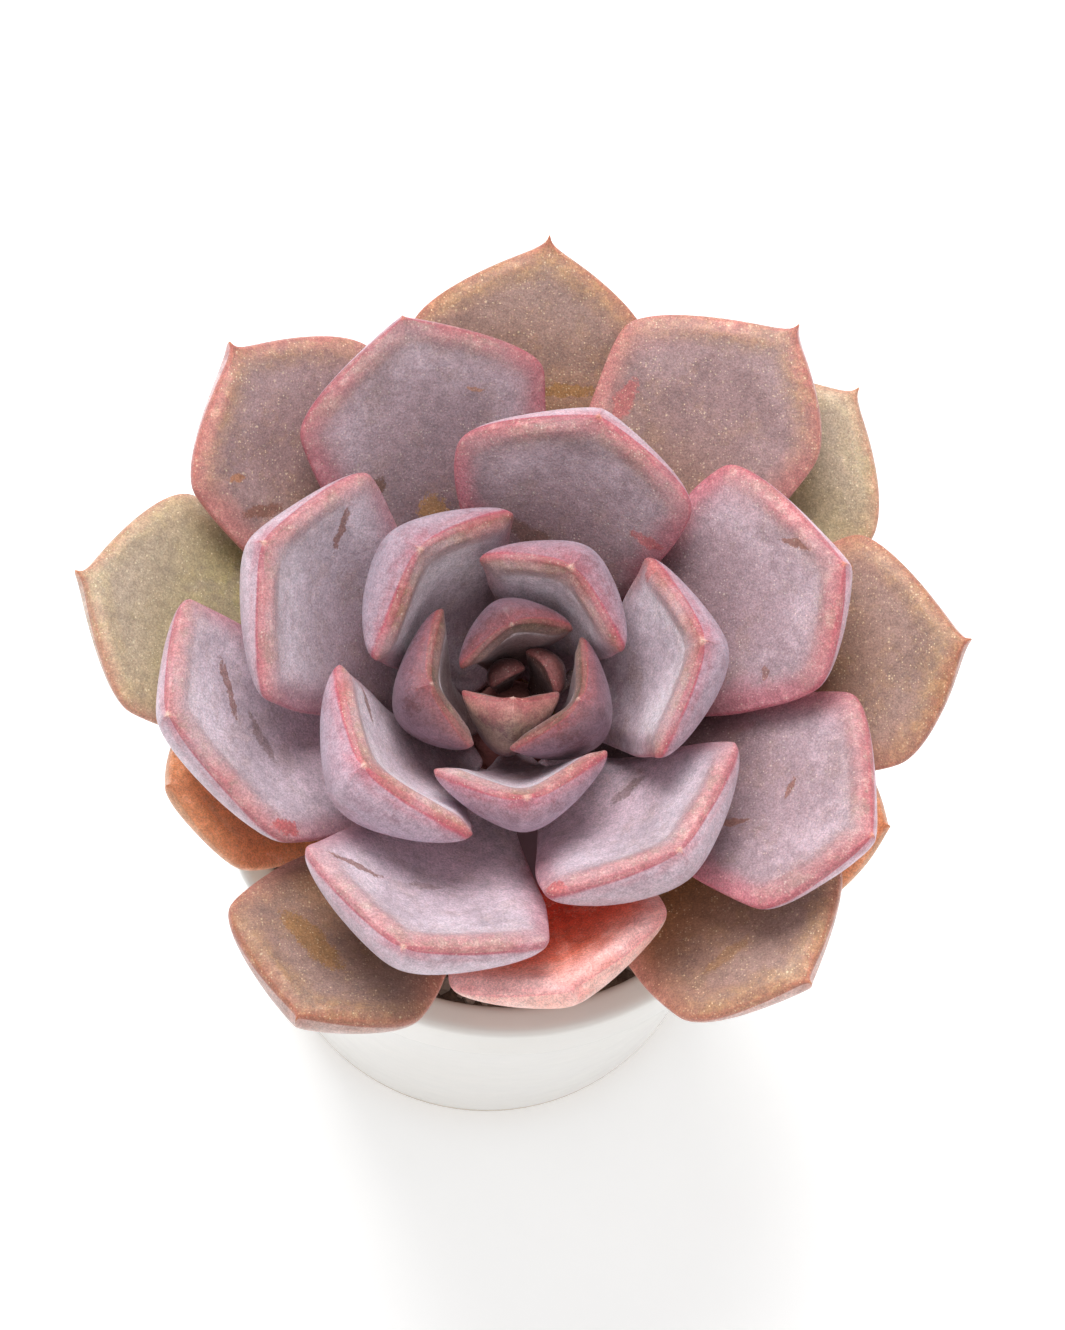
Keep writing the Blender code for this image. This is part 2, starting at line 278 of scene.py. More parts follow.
class Effect(Enum):
    """The surface effects that more than one finish uses, each a shader node group."""

    SPARKLE = "sparkle"
    MOTTLE = "mottle"
    FRINGE = "fringe"
    SCUFF = "scuff"

    def tree(self) -> bpy.types.NodeTree:
        """Builds the node group once.

        Returns:
            The node group.
        """
        made = bpy.data.node_groups.get(self.value)
        if made is None:
            made = bpy.data.node_groups.new(self.value, "ShaderNodeTree")
            build = {
                Effect.SPARKLE: self._sparkle,
                Effect.MOTTLE: self._mottle,
                Effect.FRINGE: self._fringe,
                Effect.SCUFF: self._scuff,
            }[self]
            build(made)
        return made

    @staticmethod
    def _sockets(
        made: bpy.types.NodeTree, inputs: dict[str, float | Place], outputs: tuple[str, ...]
    ) -> tuple[Tree, dict[str, bpy.types.NodeSocket], bpy.types.Node]:
        """Declares a group's sockets and returns its tree writer, inputs and output node.

        Args:
            made: the node group.
            inputs: the default of each input by name; a tuple makes it a vector.
            outputs: the names of its value outputs.

        Returns:
            The tree writer, the inputs by name, and the output node.
        """
        for name, value in inputs.items():
            kind = "NodeSocketVector" if isinstance(value, tuple) else "NodeSocketFloat"
            socket = made.interface.new_socket(name, in_out="INPUT", socket_type=kind)
            socket.default_value = value
        for name in outputs:
            made.interface.new_socket(name, in_out="OUTPUT", socket_type="NodeSocketFloat")
        write = Tree(made)
        entry = write.node("NodeGroupInput")
        leave = write.node("NodeGroupOutput")
        return write, {name: entry.outputs[name] for name in inputs}, leave

    @classmethod
    def _sparkle(cls, made: bpy.types.NodeTree) -> None:
        """Small scattered specks, each its own size and brightness.

        Args:
            made: the empty node group.
        """
        write, given, leave = cls._sockets(
            made, {"Vector": (0.0, 0.0, 0.0), "Scale": 3000.0, "Share": 0.3}, ("Mask",)
        )
        cells = write.node(
            "ShaderNodeTexVoronoi",
            {"Vector": given["Vector"], "Scale": given["Scale"], "Randomness": 1.0},
        )
        chance = write.node("ShaderNodeSeparateColor", {"Color": cells.outputs["Color"]})
        size = write.math("MULTIPLY", chance.outputs[1], 0.28)
        near = write.ramp(cells.outputs["Distance"], write.math("ADD", size, 0.22), 0.05)
        limit = write.math("SUBTRACT", 1.0, given["Share"])
        lit = write.ramp(chance.outputs[0], limit, write.math("ADD", limit, 0.25))
        made.links.new(write.math("MULTIPLY", near, lit), leave.inputs["Mask"])

    @classmethod
    def _mottle(cls, made: bpy.types.NodeTree) -> None:
        """Soft clouds at two sizes, centred on one half.

        Args:
            made: the empty node group.
        """
        write, given, leave = cls._sockets(
            made, {"Vector": (0.0, 0.0, 0.0), "Scale": 120.0, "Contrast": 1.0}, ("Value",)
        )
        broad = write.clouds(given["Vector"], given["Scale"], 2.0)
        finer = write.math("MULTIPLY", given["Scale"], 5.5)
        fine = write.clouds(given["Vector"], finer, 4.0, 0.65)
        both = write.math(
            "ADD", write.math("MULTIPLY", broad, 0.6), write.math("MULTIPLY", fine, 0.4)
        )
        swing = write.math("MULTIPLY", write.math("SUBTRACT", both, 0.5), given["Contrast"])
        value = write.math("ADD", write.math("MULTIPLY", swing, 2.5), 0.5, clamp=True)
        made.links.new(value, leave.inputs["Value"])

    @classmethod
    def _fringe(cls, made: bpy.types.NodeTree) -> None:
        """A band that runs along an edge and fades inwards, with a slightly uneven border.

        Args:
            made: the empty node group.
        """
        write, given, leave = cls._sockets(
            made,
            {
                "Vector": (0.0, 0.0, 0.0),
                "Distance": 1.0,
                "Width": 2.0,
                "Softness": 1.0,
                "Wander": 0.3,
            },
            ("Mask",),
        )
        drift = write.math("SUBTRACT", write.clouds(given["Vector"], 260.0, 3.0), 0.5)
        away = write.math("ADD", given["Distance"], write.math("MULTIPLY", drift, given["Wander"]))
        start = write.math("SUBTRACT", given["Width"], given["Softness"])
        end = write.math("ADD", given["Width"], given["Softness"])
        made.links.new(write.ramp(away, start, end, 1.0, 0.0), leave.inputs["Mask"])

    @classmethod
    def _scuff(cls, made: bpy.types.NodeTree) -> None:
        """A ragged streak with broken edges, in the leaf's own flat millimetres.

        Args:
            made: the empty node group.
        """
        write, given, leave = cls._sockets(
            made,
            {
                "Vector": (0.0, 0.0, 0.0),
                "Along": 0.0,
                "Across": 0.0,
                "Turn": 0.0,
                "Length": 3.0,
                "Width": 0.6,
            },
            ("Mask",),
        )
        centre = write.node("ShaderNodeCombineXYZ", {"X": given["Along"], "Y": given["Across"]})
        offset = write.node(
            "ShaderNodeVectorMath",
            {0: given["Vector"], 1: centre.outputs[0]},
            operation="SUBTRACT",
        )
        turned = write.node(
            "ShaderNodeVectorRotate",
            {"Vector": offset.outputs[0], "Angle": write.math("MULTIPLY", given["Turn"], -1.0)},
            rotation_type="Z_AXIS",
        )
        parts = write.node("ShaderNodeSeparateXYZ", {"Vector": turned.outputs[0]})
        drift = write.math("SUBTRACT", write.clouds(given["Vector"], 0.6, 2.0), 0.5)
        bent = write.math("ADD", parts.outputs["Y"], write.math("MULTIPLY", drift, 1.6))
        far = write.math("DIVIDE", parts.outputs["X"], write.math("MULTIPLY", given["Length"], 0.5))
        wide = write.math("DIVIDE", bent, write.math("MULTIPLY", given["Width"], 0.5))
        ring = write.math(
            "ADD", write.math("MULTIPLY", far, far), write.math("MULTIPLY", wide, wide)
        )
        ragged = write.math("MULTIPLY", write.clouds(given["Vector"], 2.6, 4.0, 0.75), 3.4)
        made.links.new(
            write.ramp(write.math("ADD", ring, ragged), 2.45, 3.1, 1.0, 0.0), leave.inputs["Mask"]
        )


# ------------------------------------------------------------------ finishes


@dataclass(frozen=True)
class Scuff:
    """A dry brown streak on a leaf: its centre, turn and size in the leaf's own millimetres."""

    along: float
    across: float
    turn: float = 0.0
    length: float = 3.0
    width: float = 0.7
    strength: float = 0.75
    colour: Rgb = (0.22, 0.09, 0.06)


class LeafMaps:
    """The values that vary over a leaf, which every layer of its skin reads."""

    def __init__(self, write: Tree) -> None:
        """Adds the nodes that give them.

        Args:
            write: the writer of the skin's node tree.
        """
        place = write.place()
        self.place = place
        self.flat = write.attribute("flat", "Vector")  # the leaf laid flat, in millimetres
        self.margin = write.attribute("margin")  # millimetres inwards, below 0 on the back
        self.along = write.attribute("along")  # 0 at the base to 1 at the tip
        self.tip = write.attribute("tip")  # millimetres from the tip
        self.soft = write.group(Effect.MOTTLE, Vector=place, Scale=110.0, Contrast=1.2)["Value"]
        self.patchy = write.group(Effect.MOTTLE, Vector=place, Scale=300.0, Contrast=1.3)["Value"]
        self.tight = write.group(Effect.MOTTLE, Vector=place, Scale=900.0, Contrast=1.1)["Value"]
        fleck = write.group(Effect.SPARKLE, Vector=place, Scale=3600.0, Share=0.42)["Mask"]
        coarse = write.group(Effect.SPARKLE, Vector=place, Scale=2100.0, Share=0.20)["Mask"]
        self.specks = write.math("MAXIMUM", fleck, coarse)
        self.pores = write.group(Effect.SPARKLE, Vector=place, Scale=2600.0, Share=0.18)["Mask"]
        self.dust = write.clouds(place, 4300.0, 2.0, 0.8)
        self.flush = write.ramp(self.along, 0.62, 0.88)  # the part beyond the shoulders
        self.behind = write.ramp(self.margin, -0.10, -0.80)  # the back


@dataclass(frozen=True)
class LeafSkin:
    """The waxy skin of a leaf: colours from its margin inwards, its back, and its grain."""

    face: Rgb = (0.33, 0.235, 0.275)  # the upper face
    root: Rgb = (0.17, 0.095, 0.12)  # the face towards the base: partly its own colour, partly painted shade where the leaves crowd round the stem
    bloom_and_highlight: Rgb = (0.56, 0.46, 0.53)  # the pale wax over the crown of the face, with a painted highlight where light catches the crown
    halo: Rgb = (0.34, 0.22, 0.17)  # the dry tint between face and band
    band: Rgb = (0.60, 0.26, 0.25)  # the flushed band inside the margin, near the tip
    blush: Rgb = (0.58, 0.33, 0.38)  # the same band beside and below the shoulders
    rim: Rgb = (0.66, 0.20, 0.23)  # the fine line on the margin
    back: Rgb = (0.60, 0.50, 0.57)
    # the back towards its base, painted in shade there, and its own colour in the soft clouds and
    # blotches
    back_root: Rgb = (0.42, 0.28, 0.33)
    # the tip: dry and brown on the outer leaves; on the inner ones a pale dot that is partly a
    # painted highlight
    tip: Rgb = (0.78, 0.46, 0.36)
    sparkle: Rgb = (0.78, 0.66, 0.56)
    band_width: float = 1.9  # millimetres
    band_strength: float = 0.9
    band_start: float = 0.34  # share of the length from which the band begins
    patches: float = 0.45  # how much of the band is dried to the halo's colour
    crest: float = 0.35  # wax and a painted highlight on the crest between band and face
    rim_width: float = 0.16
    rim_strength: float = 0.85
    halo_strength: float = 0.35
    bloom_and_highlight_strength: float = 0.5
    tip_size: float = 0.8
    root_reach: float = 0.78  # share of the length over which the base's colour fades out
    shaded_base: float = 0.0  # share of the length over which the base is painted in shade
    base_shade: Rgb = (0.24, 0.13, 0.15)  # the colour of that painted shade
    wash: float = 0.0  # how far the sides below the shoulders are flushed
    blotches: float = 0.35  # how strongly the back is mottled
    back_flush: float = 0.2  # how strongly the back is flushed below its margin
    grain: float = 0.6
    flesh: float = 0.22  # how far light spreads under the skin
    glow: float = 0.0  # painted glow: emitted light that stands in for the light coming through from behind
    roughness: float = 0.46

    def material(self, name: str, tone: float, scuffs: tuple[Scuff, ...]) -> bpy.types.Material:
        """Builds the skin of one leaf.

        Args:
            name: the material's name.
            tone: how much lighter (above 1) or darker this leaf is than its kind.
            scuffs: its marks.

        Returns:
            The material.
        """
        made = bpy.data.materials.new(name)
        made.use_nodes = True
        write = Tree(made.node_tree)
        shader = made.node_tree.nodes["Principled BSDF"]
        maps = LeafMaps(write)
        colour = self._face(write, maps)
        colour = self._border(write, maps, colour)
        colour = self._back(write, maps, colour)
        colour = self._marks(write, maps, colour, scuffs)
        colour = self._grain(write, maps, colour, tone)
        write.tree.links.new(colour, shader.inputs["Base Color"])
        self._relief(write, maps, shader)
        shader.inputs["Subsurface Weight"].default_value = self.flesh
        shader.inputs["Subsurface Radius"].default_value = (1.0, 0.42, 0.34)
        shader.inputs["Subsurface Scale"].default_value = 0.0030
        # painted glow: the skin emits its own colour, standing in for light that comes through the
        # leaf
        if self.glow:
            write.tree.links.new(colour, shader.inputs["Emission Color"])
            shader.inputs["Emission Strength"].default_value = self.glow
        shader.inputs["Sheen Weight"].default_value = 0.10
        shader.inputs["Sheen Roughness"].default_value = 0.45
        shader.inputs["Sheen Tint"].default_value = (0.96, 0.90, 1.0, 1.0)
        shader.inputs["Specular IOR Level"].default_value = 0.42
        return made

    def _face(self, write: Tree, maps: LeafMaps) -> bpy.types.NodeSocket:
        """The face: darker towards the base, partly with painted shade, and pale wax with a painted
        highlight over its raised part.

        Args:
            write: the writer of the skin's node tree.
            maps: the leaf's own values.

        Returns:
            The colour of the face.
        """
        along, margin, soft, patchy = maps.along, maps.margin, maps.soft, maps.patchy
        # darker towards the base: partly the base's own colour, partly painted shade
        colour = write.blend(write.ramp(along, 0.36, self.root_reach), self.root, self.face)
        dusk = tuple(0.74 * c for c in self.face)
        colour = write.blend(write.ramp(soft, 0.55, 0.10, 0.0, 0.60), colour, dusk)
        dry = write.math("MULTIPLY", write.ramp(patchy, 0.50, 0.90), 0.22)
        colour = write.blend(dry, colour, self.halo)
        crown = write.math(
            "MULTIPLY",
            write.ramp(margin, 1.8, 3.8),
            write.math(
                "MULTIPLY",
                write.ramp(margin, 9.0, 4.4),
                write.ramp(along, self.root_reach - 0.30, self.root_reach),
            ),
        )
        # pale wax with a painted highlight where light catches the crown
        wax_and_highlight = write.math("MULTIPLY", crown, write.ramp(soft, 0.25, 0.75, 0.15, 1.0))
        colour = write.blend(
            write.math("MULTIPLY", wax_and_highlight, self.bloom_and_highlight_strength), colour, self.bloom_and_highlight
        )
        return colour

    def _border(
        self, write: Tree, maps: LeafMaps, colour: bpy.types.NodeSocket
    ) -> bpy.types.NodeSocket:
        """Wash, halo, band, crest with its wax and painted highlight, and rim, each laid over the
        last towards the margin.

        Args:
            write: the writer of the skin's node tree.
            maps: the leaf's own values.
            colour: the skin's colour under this layer.

        Returns:
            The skin's colour with this layer.
        """
        place, along, margin, flush = maps.place, maps.along, maps.margin, maps.flush
        soft, patchy, tight = maps.soft, maps.patchy, maps.tight
        flanks = write.math(
            "MULTIPLY", write.ramp(along, 0.40, 0.58), write.ramp(along, 0.90, 0.70)
        )
        inwards = write.ramp(margin, write.ramp(soft, 0.2, 0.8, 3.6, 5.6), 0.6)
        share = write.math("MULTIPLY", flanks, write.math("MULTIPLY", inwards, self.wash))
        colour = write.blend(share, colour, self.blush)
        reach = write.ramp(along, self.band_start, self.band_start + 0.22)
        wide = write.group(
            Effect.FRINGE, Vector=place, Distance=margin,
            Width=self.band_width + 1.0, Softness=1.1, Wander=2.2,
        )["Mask"]
        share = write.math("MULTIPLY", wide, write.math("MULTIPLY", flush, self.halo_strength))
        colour = write.blend(
            write.math("MULTIPLY", share, write.ramp(tight, 0.2, 0.8, 0.4, 1.0)), colour, self.halo
        )
        band = write.group(
            Effect.FRINGE, Vector=place, Distance=margin,
            Width=self.band_width * 0.66, Softness=self.band_width * 0.66, Wander=2.0,
        )["Mask"]
        tint = write.blend(flush, self.blush, self.band)
        worn = write.math("MULTIPLY", write.ramp(patchy, 0.42, 0.74), self.patches)
        tint = write.blend(write.math("MULTIPLY", worn, flush), tint, self.halo)
        tint = write.blend(write.ramp(tight, 0.5, 0.95, 0.0, 0.22), tint, self.sparkle)
        faded = write.ramp(write.clouds(place, 130.0, 2.0), 0.36, 0.58, 0.50, 1.0)
        band = write.math("MULTIPLY", band, faded)
        share = write.math("MULTIPLY", band, write.math("MULTIPLY", reach, self.band_strength))
        colour = write.blend(share, colour, tint)
        # the crest inside the band: pale wax with a painted highlight
        ridge = write.math(
            "MULTIPLY",
            write.ramp(margin, self.band_width - 0.1, self.band_width + 0.4),
            write.ramp(margin, self.band_width + 1.6, self.band_width + 0.6),
        )
        ridge = write.math("MULTIPLY", ridge, write.ramp(patchy, 0.25, 0.6))
        share = write.math("MULTIPLY", ridge, write.math("MULTIPLY", flush, self.crest))
        colour = write.blend(share, colour, self.bloom_and_highlight)
        rim = write.group(
            Effect.FRINGE, Vector=place, Distance=margin,
            Width=self.rim_width, Softness=0.34, Wander=0.45,
        )["Mask"]
        early = write.ramp(along, self.band_start - 0.20, self.band_start + 0.10)
        vivid = write.math("MULTIPLY", early, write.ramp(patchy, 0.15, 0.7, 0.55, 1.0))
        share = write.math("MULTIPLY", rim, write.math("MULTIPLY", vivid, self.rim_strength))
        colour = write.blend(share, colour, self.rim)
        return colour

    def _back(
        self, write: Tree, maps: LeafMaps, colour: bpy.types.NodeSocket
    ) -> bpy.types.NodeSocket:
        """The back: pale, darker towards its base with painted shade, flushed below its margin and
        in soft clouds.

        Args:
            write: the writer of the skin's node tree.
            maps: the leaf's own values.
            colour: the skin's colour under this layer.

        Returns:
            The skin's colour with this layer.
        """
        along, margin, flush = maps.along, maps.margin, maps.flush
        behind, soft, patchy = maps.behind, maps.soft, maps.patchy
        # darker towards the base of the back: painted shade where the leaves overlap
        under = write.blend(write.ramp(along, 0.30, 0.72), self.back_root, self.back)
        under = write.blend(write.ramp(soft, 0.5, 0.05, 0.0, 0.45), under, self.back_root)
        blots = write.ramp(patchy, 0.5, 0.9, 0.0, self.blotches)
        under = write.blend(blots, under, self.back_root)
        below = write.math("MULTIPLY", write.ramp(margin, -2.2, -0.5), flush)
        under = write.blend(write.math("MULTIPLY", below, self.back_flush), under, self.blush)
        colour = write.blend(behind, colour, under)
        return colour

    def _marks(
        self, write: Tree, maps: LeafMaps, colour: bpy.types.NodeSocket, scuffs: tuple[Scuff, ...]
    ) -> bpy.types.NodeSocket:
        """The tip, dry on the outer leaves and on the inner ones a pale dot that is partly a
        painted highlight, and the leaf's own marks.

        Args:
            write: the writer of the skin's node tree.
            maps: the leaf's own values.
            colour: the skin's colour under this layer.
            scuffs: the marks.

        Returns:
            The skin's colour with this layer.
        """
        margin, flat, tip = maps.margin, maps.flat, maps.tip
        # the tip's colour, which is partly a painted highlight where it is a pale dot
        point = write.ramp(tip, self.tip_size, 0.15 * self.tip_size, 0.0, 0.8)
        colour = write.blend(point, colour, self.tip)
        in_front = write.ramp(margin, -0.2, 0.3)
        for mark in scuffs:
            streak = write.group(
                Effect.SCUFF, Vector=flat, Along=mark.along, Across=mark.across,
                Turn=math.radians(mark.turn), Length=mark.length, Width=mark.width,
            )["Mask"]
            share = write.math("MULTIPLY", streak, write.math("MULTIPLY", in_front, mark.strength))
            colour = write.blend(share, colour, mark.colour)
        return colour

    def _grain(
        self, write: Tree, maps: LeafMaps, colour: bpy.types.NodeSocket, tone: float
    ) -> bpy.types.NodeSocket:
        """Specks, pores and freckles, the leaf's own tone, and painted shade over its base.

        Args:
            write: the writer of the skin's node tree.
            maps: the leaf's own values.
            colour: the skin's colour under this layer.
            tone: how much lighter (above 1) or darker the leaf is.

        Returns:
            The skin's final colour.
        """
        place, along, behind, specks = maps.place, maps.along, maps.behind, maps.specks
        pores, dust, tight, patchy = maps.pores, maps.dust, maps.tight, maps.patchy
        amount = write.math("MULTIPLY", write.ramp(behind, 0.0, 1.0, 1.0, 0.25), self.grain)
        clustered = write.math("MULTIPLY", amount, write.ramp(patchy, 0.2, 0.8, 0.55, 1.0))
        colour = write.blend(
            write.math("MULTIPLY", specks, clustered, clamp=True), colour, self.sparkle
        )
        dots = write.math("MULTIPLY", pores, write.math("MULTIPLY", amount, 0.7))
        colour = write.blend(dots, colour, tuple(0.40 * c for c in self.face))
        freckles = write.group(Effect.SPARKLE, Vector=place, Scale=620.0, Share=0.012)["Mask"]
        colour = write.blend(
            write.math("MULTIPLY", freckles, 0.8), colour, tuple(0.30 * c for c in self.face)
        )
        level = write.math(
            "MULTIPLY",
            write.ramp(tight, 0.0, 1.0, 0.86 * tone, 1.14 * tone),
            write.ramp(dust, 0.30, 0.70, 0.76, 1.24),
        )
        shade = write.node("ShaderNodeCombineColor", {0: level, 1: level, 2: level}).outputs[0]
        colour = write.blend(1.0, colour, shade, "MULTIPLY")
        # painted shade over the base, where it lies under other leaves
        if self.shaded_base:
            deep = write.ramp(along, self.shaded_base, self.shaded_base - 0.12)
            colour = write.blend(deep, colour, self.base_shade)
        return colour

    def _relief(self, write: Tree, maps: LeafMaps, shader: bpy.types.Node) -> None:
        """Roughness and fine relief, which follow the grain.

        Args:
            write: the writer of the skin's node tree.
            maps: the leaf's own values.
            shader: the skin's shader.
        """
        place, specks, dust, tight = maps.place, maps.specks, maps.dust, maps.tight
        rough = write.ramp(tight, 0.1, 0.9, self.roughness + 0.07, self.roughness - 0.07)
        rough = write.math("SUBTRACT", rough, write.math("MULTIPLY", specks, 0.10))
        write.tree.links.new(rough, shader.inputs["Roughness"])
        height = write.math(
            "ADD",
            write.math("MULTIPLY", specks, 0.35),
            write.math("ADD", write.math("MULTIPLY", dust, 0.7), write.clouds(place, 900.0, 4.0)),
        )
        bump = write.node(
            "ShaderNodeBump", {"Height": height, "Strength": 0.5, "Distance": 0.00012}
        )
        write.tree.links.new(bump.outputs[0], shader.inputs["Normal"])


@dataclass(frozen=True)
class Glaze:
    """White glazed stoneware, bare where it stands on its foot."""

    colour: Rgb = (0.76, 0.745, 0.72)
    speck: Rgb = (0.55, 0.47, 0.38)
    clay: Rgb = (0.66, 0.58, 0.49)

    def material(self) -> bpy.types.Material:
        """Builds the glaze.

        Returns:
            The material.
        """
        made = bpy.data.materials.new("white_glaze")
        made.use_nodes = True
        write = Tree(made.node_tree)
        shader = made.node_tree.nodes["Principled BSDF"]
        place = write.place()
        cloud = write.group(Effect.MOTTLE, Vector=place, Scale=45.0, Contrast=0.8)["Value"]
        specks = write.group(Effect.SPARKLE, Vector=place, Scale=420.0, Share=0.07)["Mask"]
        warm = tuple(c * t for c, t in zip(self.colour, (0.97, 0.95, 0.92)))
        colour = write.blend(cloud, warm, self.colour)
        colour = write.blend(write.math("MULTIPLY", specks, 0.55), colour, self.speck)
        bare = write.ramp(write.attribute("bare"), 0.35, 0.65)
        grog = write.group(Effect.MOTTLE, Vector=place, Scale=900.0, Contrast=1.2)["Value"]
        clay = write.blend(grog, tuple(0.8 * c for c in self.clay), self.clay)
        colour = write.blend(bare, colour, clay)
        write.tree.links.new(colour, shader.inputs["Base Color"])
        polish = write.ramp(cloud, 0.1, 0.9, 0.26, 0.18)
        rough = write.math("ADD", polish, write.math("MULTIPLY", bare, 0.6))
        write.tree.links.new(rough, shader.inputs["Roughness"])
        height = write.math(
            "ADD",
            write.clouds(place, 160.0, 2.0),
            write.math("MULTIPLY", write.math("MULTIPLY", bare, grog), 1.5),
        )
        bump = write.node(
            "ShaderNodeBump", {"Height": height, "Strength": 0.25, "Distance": 0.0003}
        )
        write.tree.links.new(bump.outputs[0], shader.inputs["Normal"])
        shader.inputs["Coat Weight"].default_value = 0.3
        shader.inputs["Coat Roughness"].default_value = 0.12
        return made


@dataclass(frozen=True)
class Earth:
    """Crumbly potting soil and its grit."""

    dark: Rgb = (0.14, 0.105, 0.08)
    light: Rgb = (0.36, 0.30, 0.24)
    chip: Rgb = (0.80, 0.77, 0.72)

    def material(self, name: str, chips: float) -> bpy.types.Material:
        """Builds the soil's finish.

        Args:
            name: the material's name.
            chips: how much of it is pale mineral.

        Returns:
            The material.
        """
        made = bpy.data.materials.new(name)
        made.use_nodes = True
        write = Tree(made.node_tree)
        shader = made.node_tree.nodes["Principled BSDF"]
        place = write.place()
        crumb = write.group(Effect.MOTTLE, Vector=place, Scale=420.0, Contrast=1.5)["Value"]
        grit = write.group(Effect.SPARKLE, Vector=place, Scale=900.0, Share=0.25)["Mask"]
        colour = write.blend(crumb, self.dark, self.light)
        colour = write.blend(write.math("MULTIPLY", grit, 0.5), colour, self.chip)
        stone = write.ramp(write.clouds(place, 240.0, 1.0), 0.35, 0.65, 0.5 * chips, chips)
        colour = write.blend(stone, colour, self.chip)
        write.tree.links.new(colour, shader.inputs["Base Color"])
        write.tree.links.new(write.ramp(crumb, 0.0, 1.0, 0.98, 0.85), shader.inputs["Roughness"])
        bump = write.node("ShaderNodeBump", {"Height": crumb, "Strength": 0.7, "Distance": 0.0006})
        write.tree.links.new(bump.outputs[0], shader.inputs["Normal"])
        shader.inputs["Specular IOR Level"].default_value = 0.25
        return made


@dataclass(frozen=True)
class Bark:
    """The trunk's corky skin, red and fleshy at its growing point."""

    cork: Rgb = (0.27, 0.18, 0.12)
    crack: Rgb = (0.10, 0.06, 0.04)
    shoot: Rgb = (0.34, 0.13, 0.11)

    def material(self) -> bpy.types.Material:
        """Builds the bark.

        Returns:
            The material.
        """
        made = bpy.data.materials.new("corky_bark")
        made.use_nodes = True
        write = Tree(made.node_tree)
        shader = made.node_tree.nodes["Principled BSDF"]
        place = write.place()
        ripple = write.group(Effect.MOTTLE, Vector=place, Scale=350.0, Contrast=1.4)["Value"]
        colour = write.blend(ripple, self.crack, self.cork)
        fresh = write.ramp(write.attribute("fresh"), 0.2, 0.8)
        colour = write.blend(fresh, colour, self.shoot)
        write.tree.links.new(colour, shader.inputs["Base Color"])
        write.tree.links.new(write.ramp(ripple, 0.0, 1.0, 0.92, 0.72), shader.inputs["Roughness"])
        bump = write.node("ShaderNodeBump", {"Height": ripple, "Strength": 0.6, "Distance": 0.0004})
        write.tree.links.new(bump.outputs[0], shader.inputs["Normal"])
        return made


# ------------------------------------------------------------------ the leaves


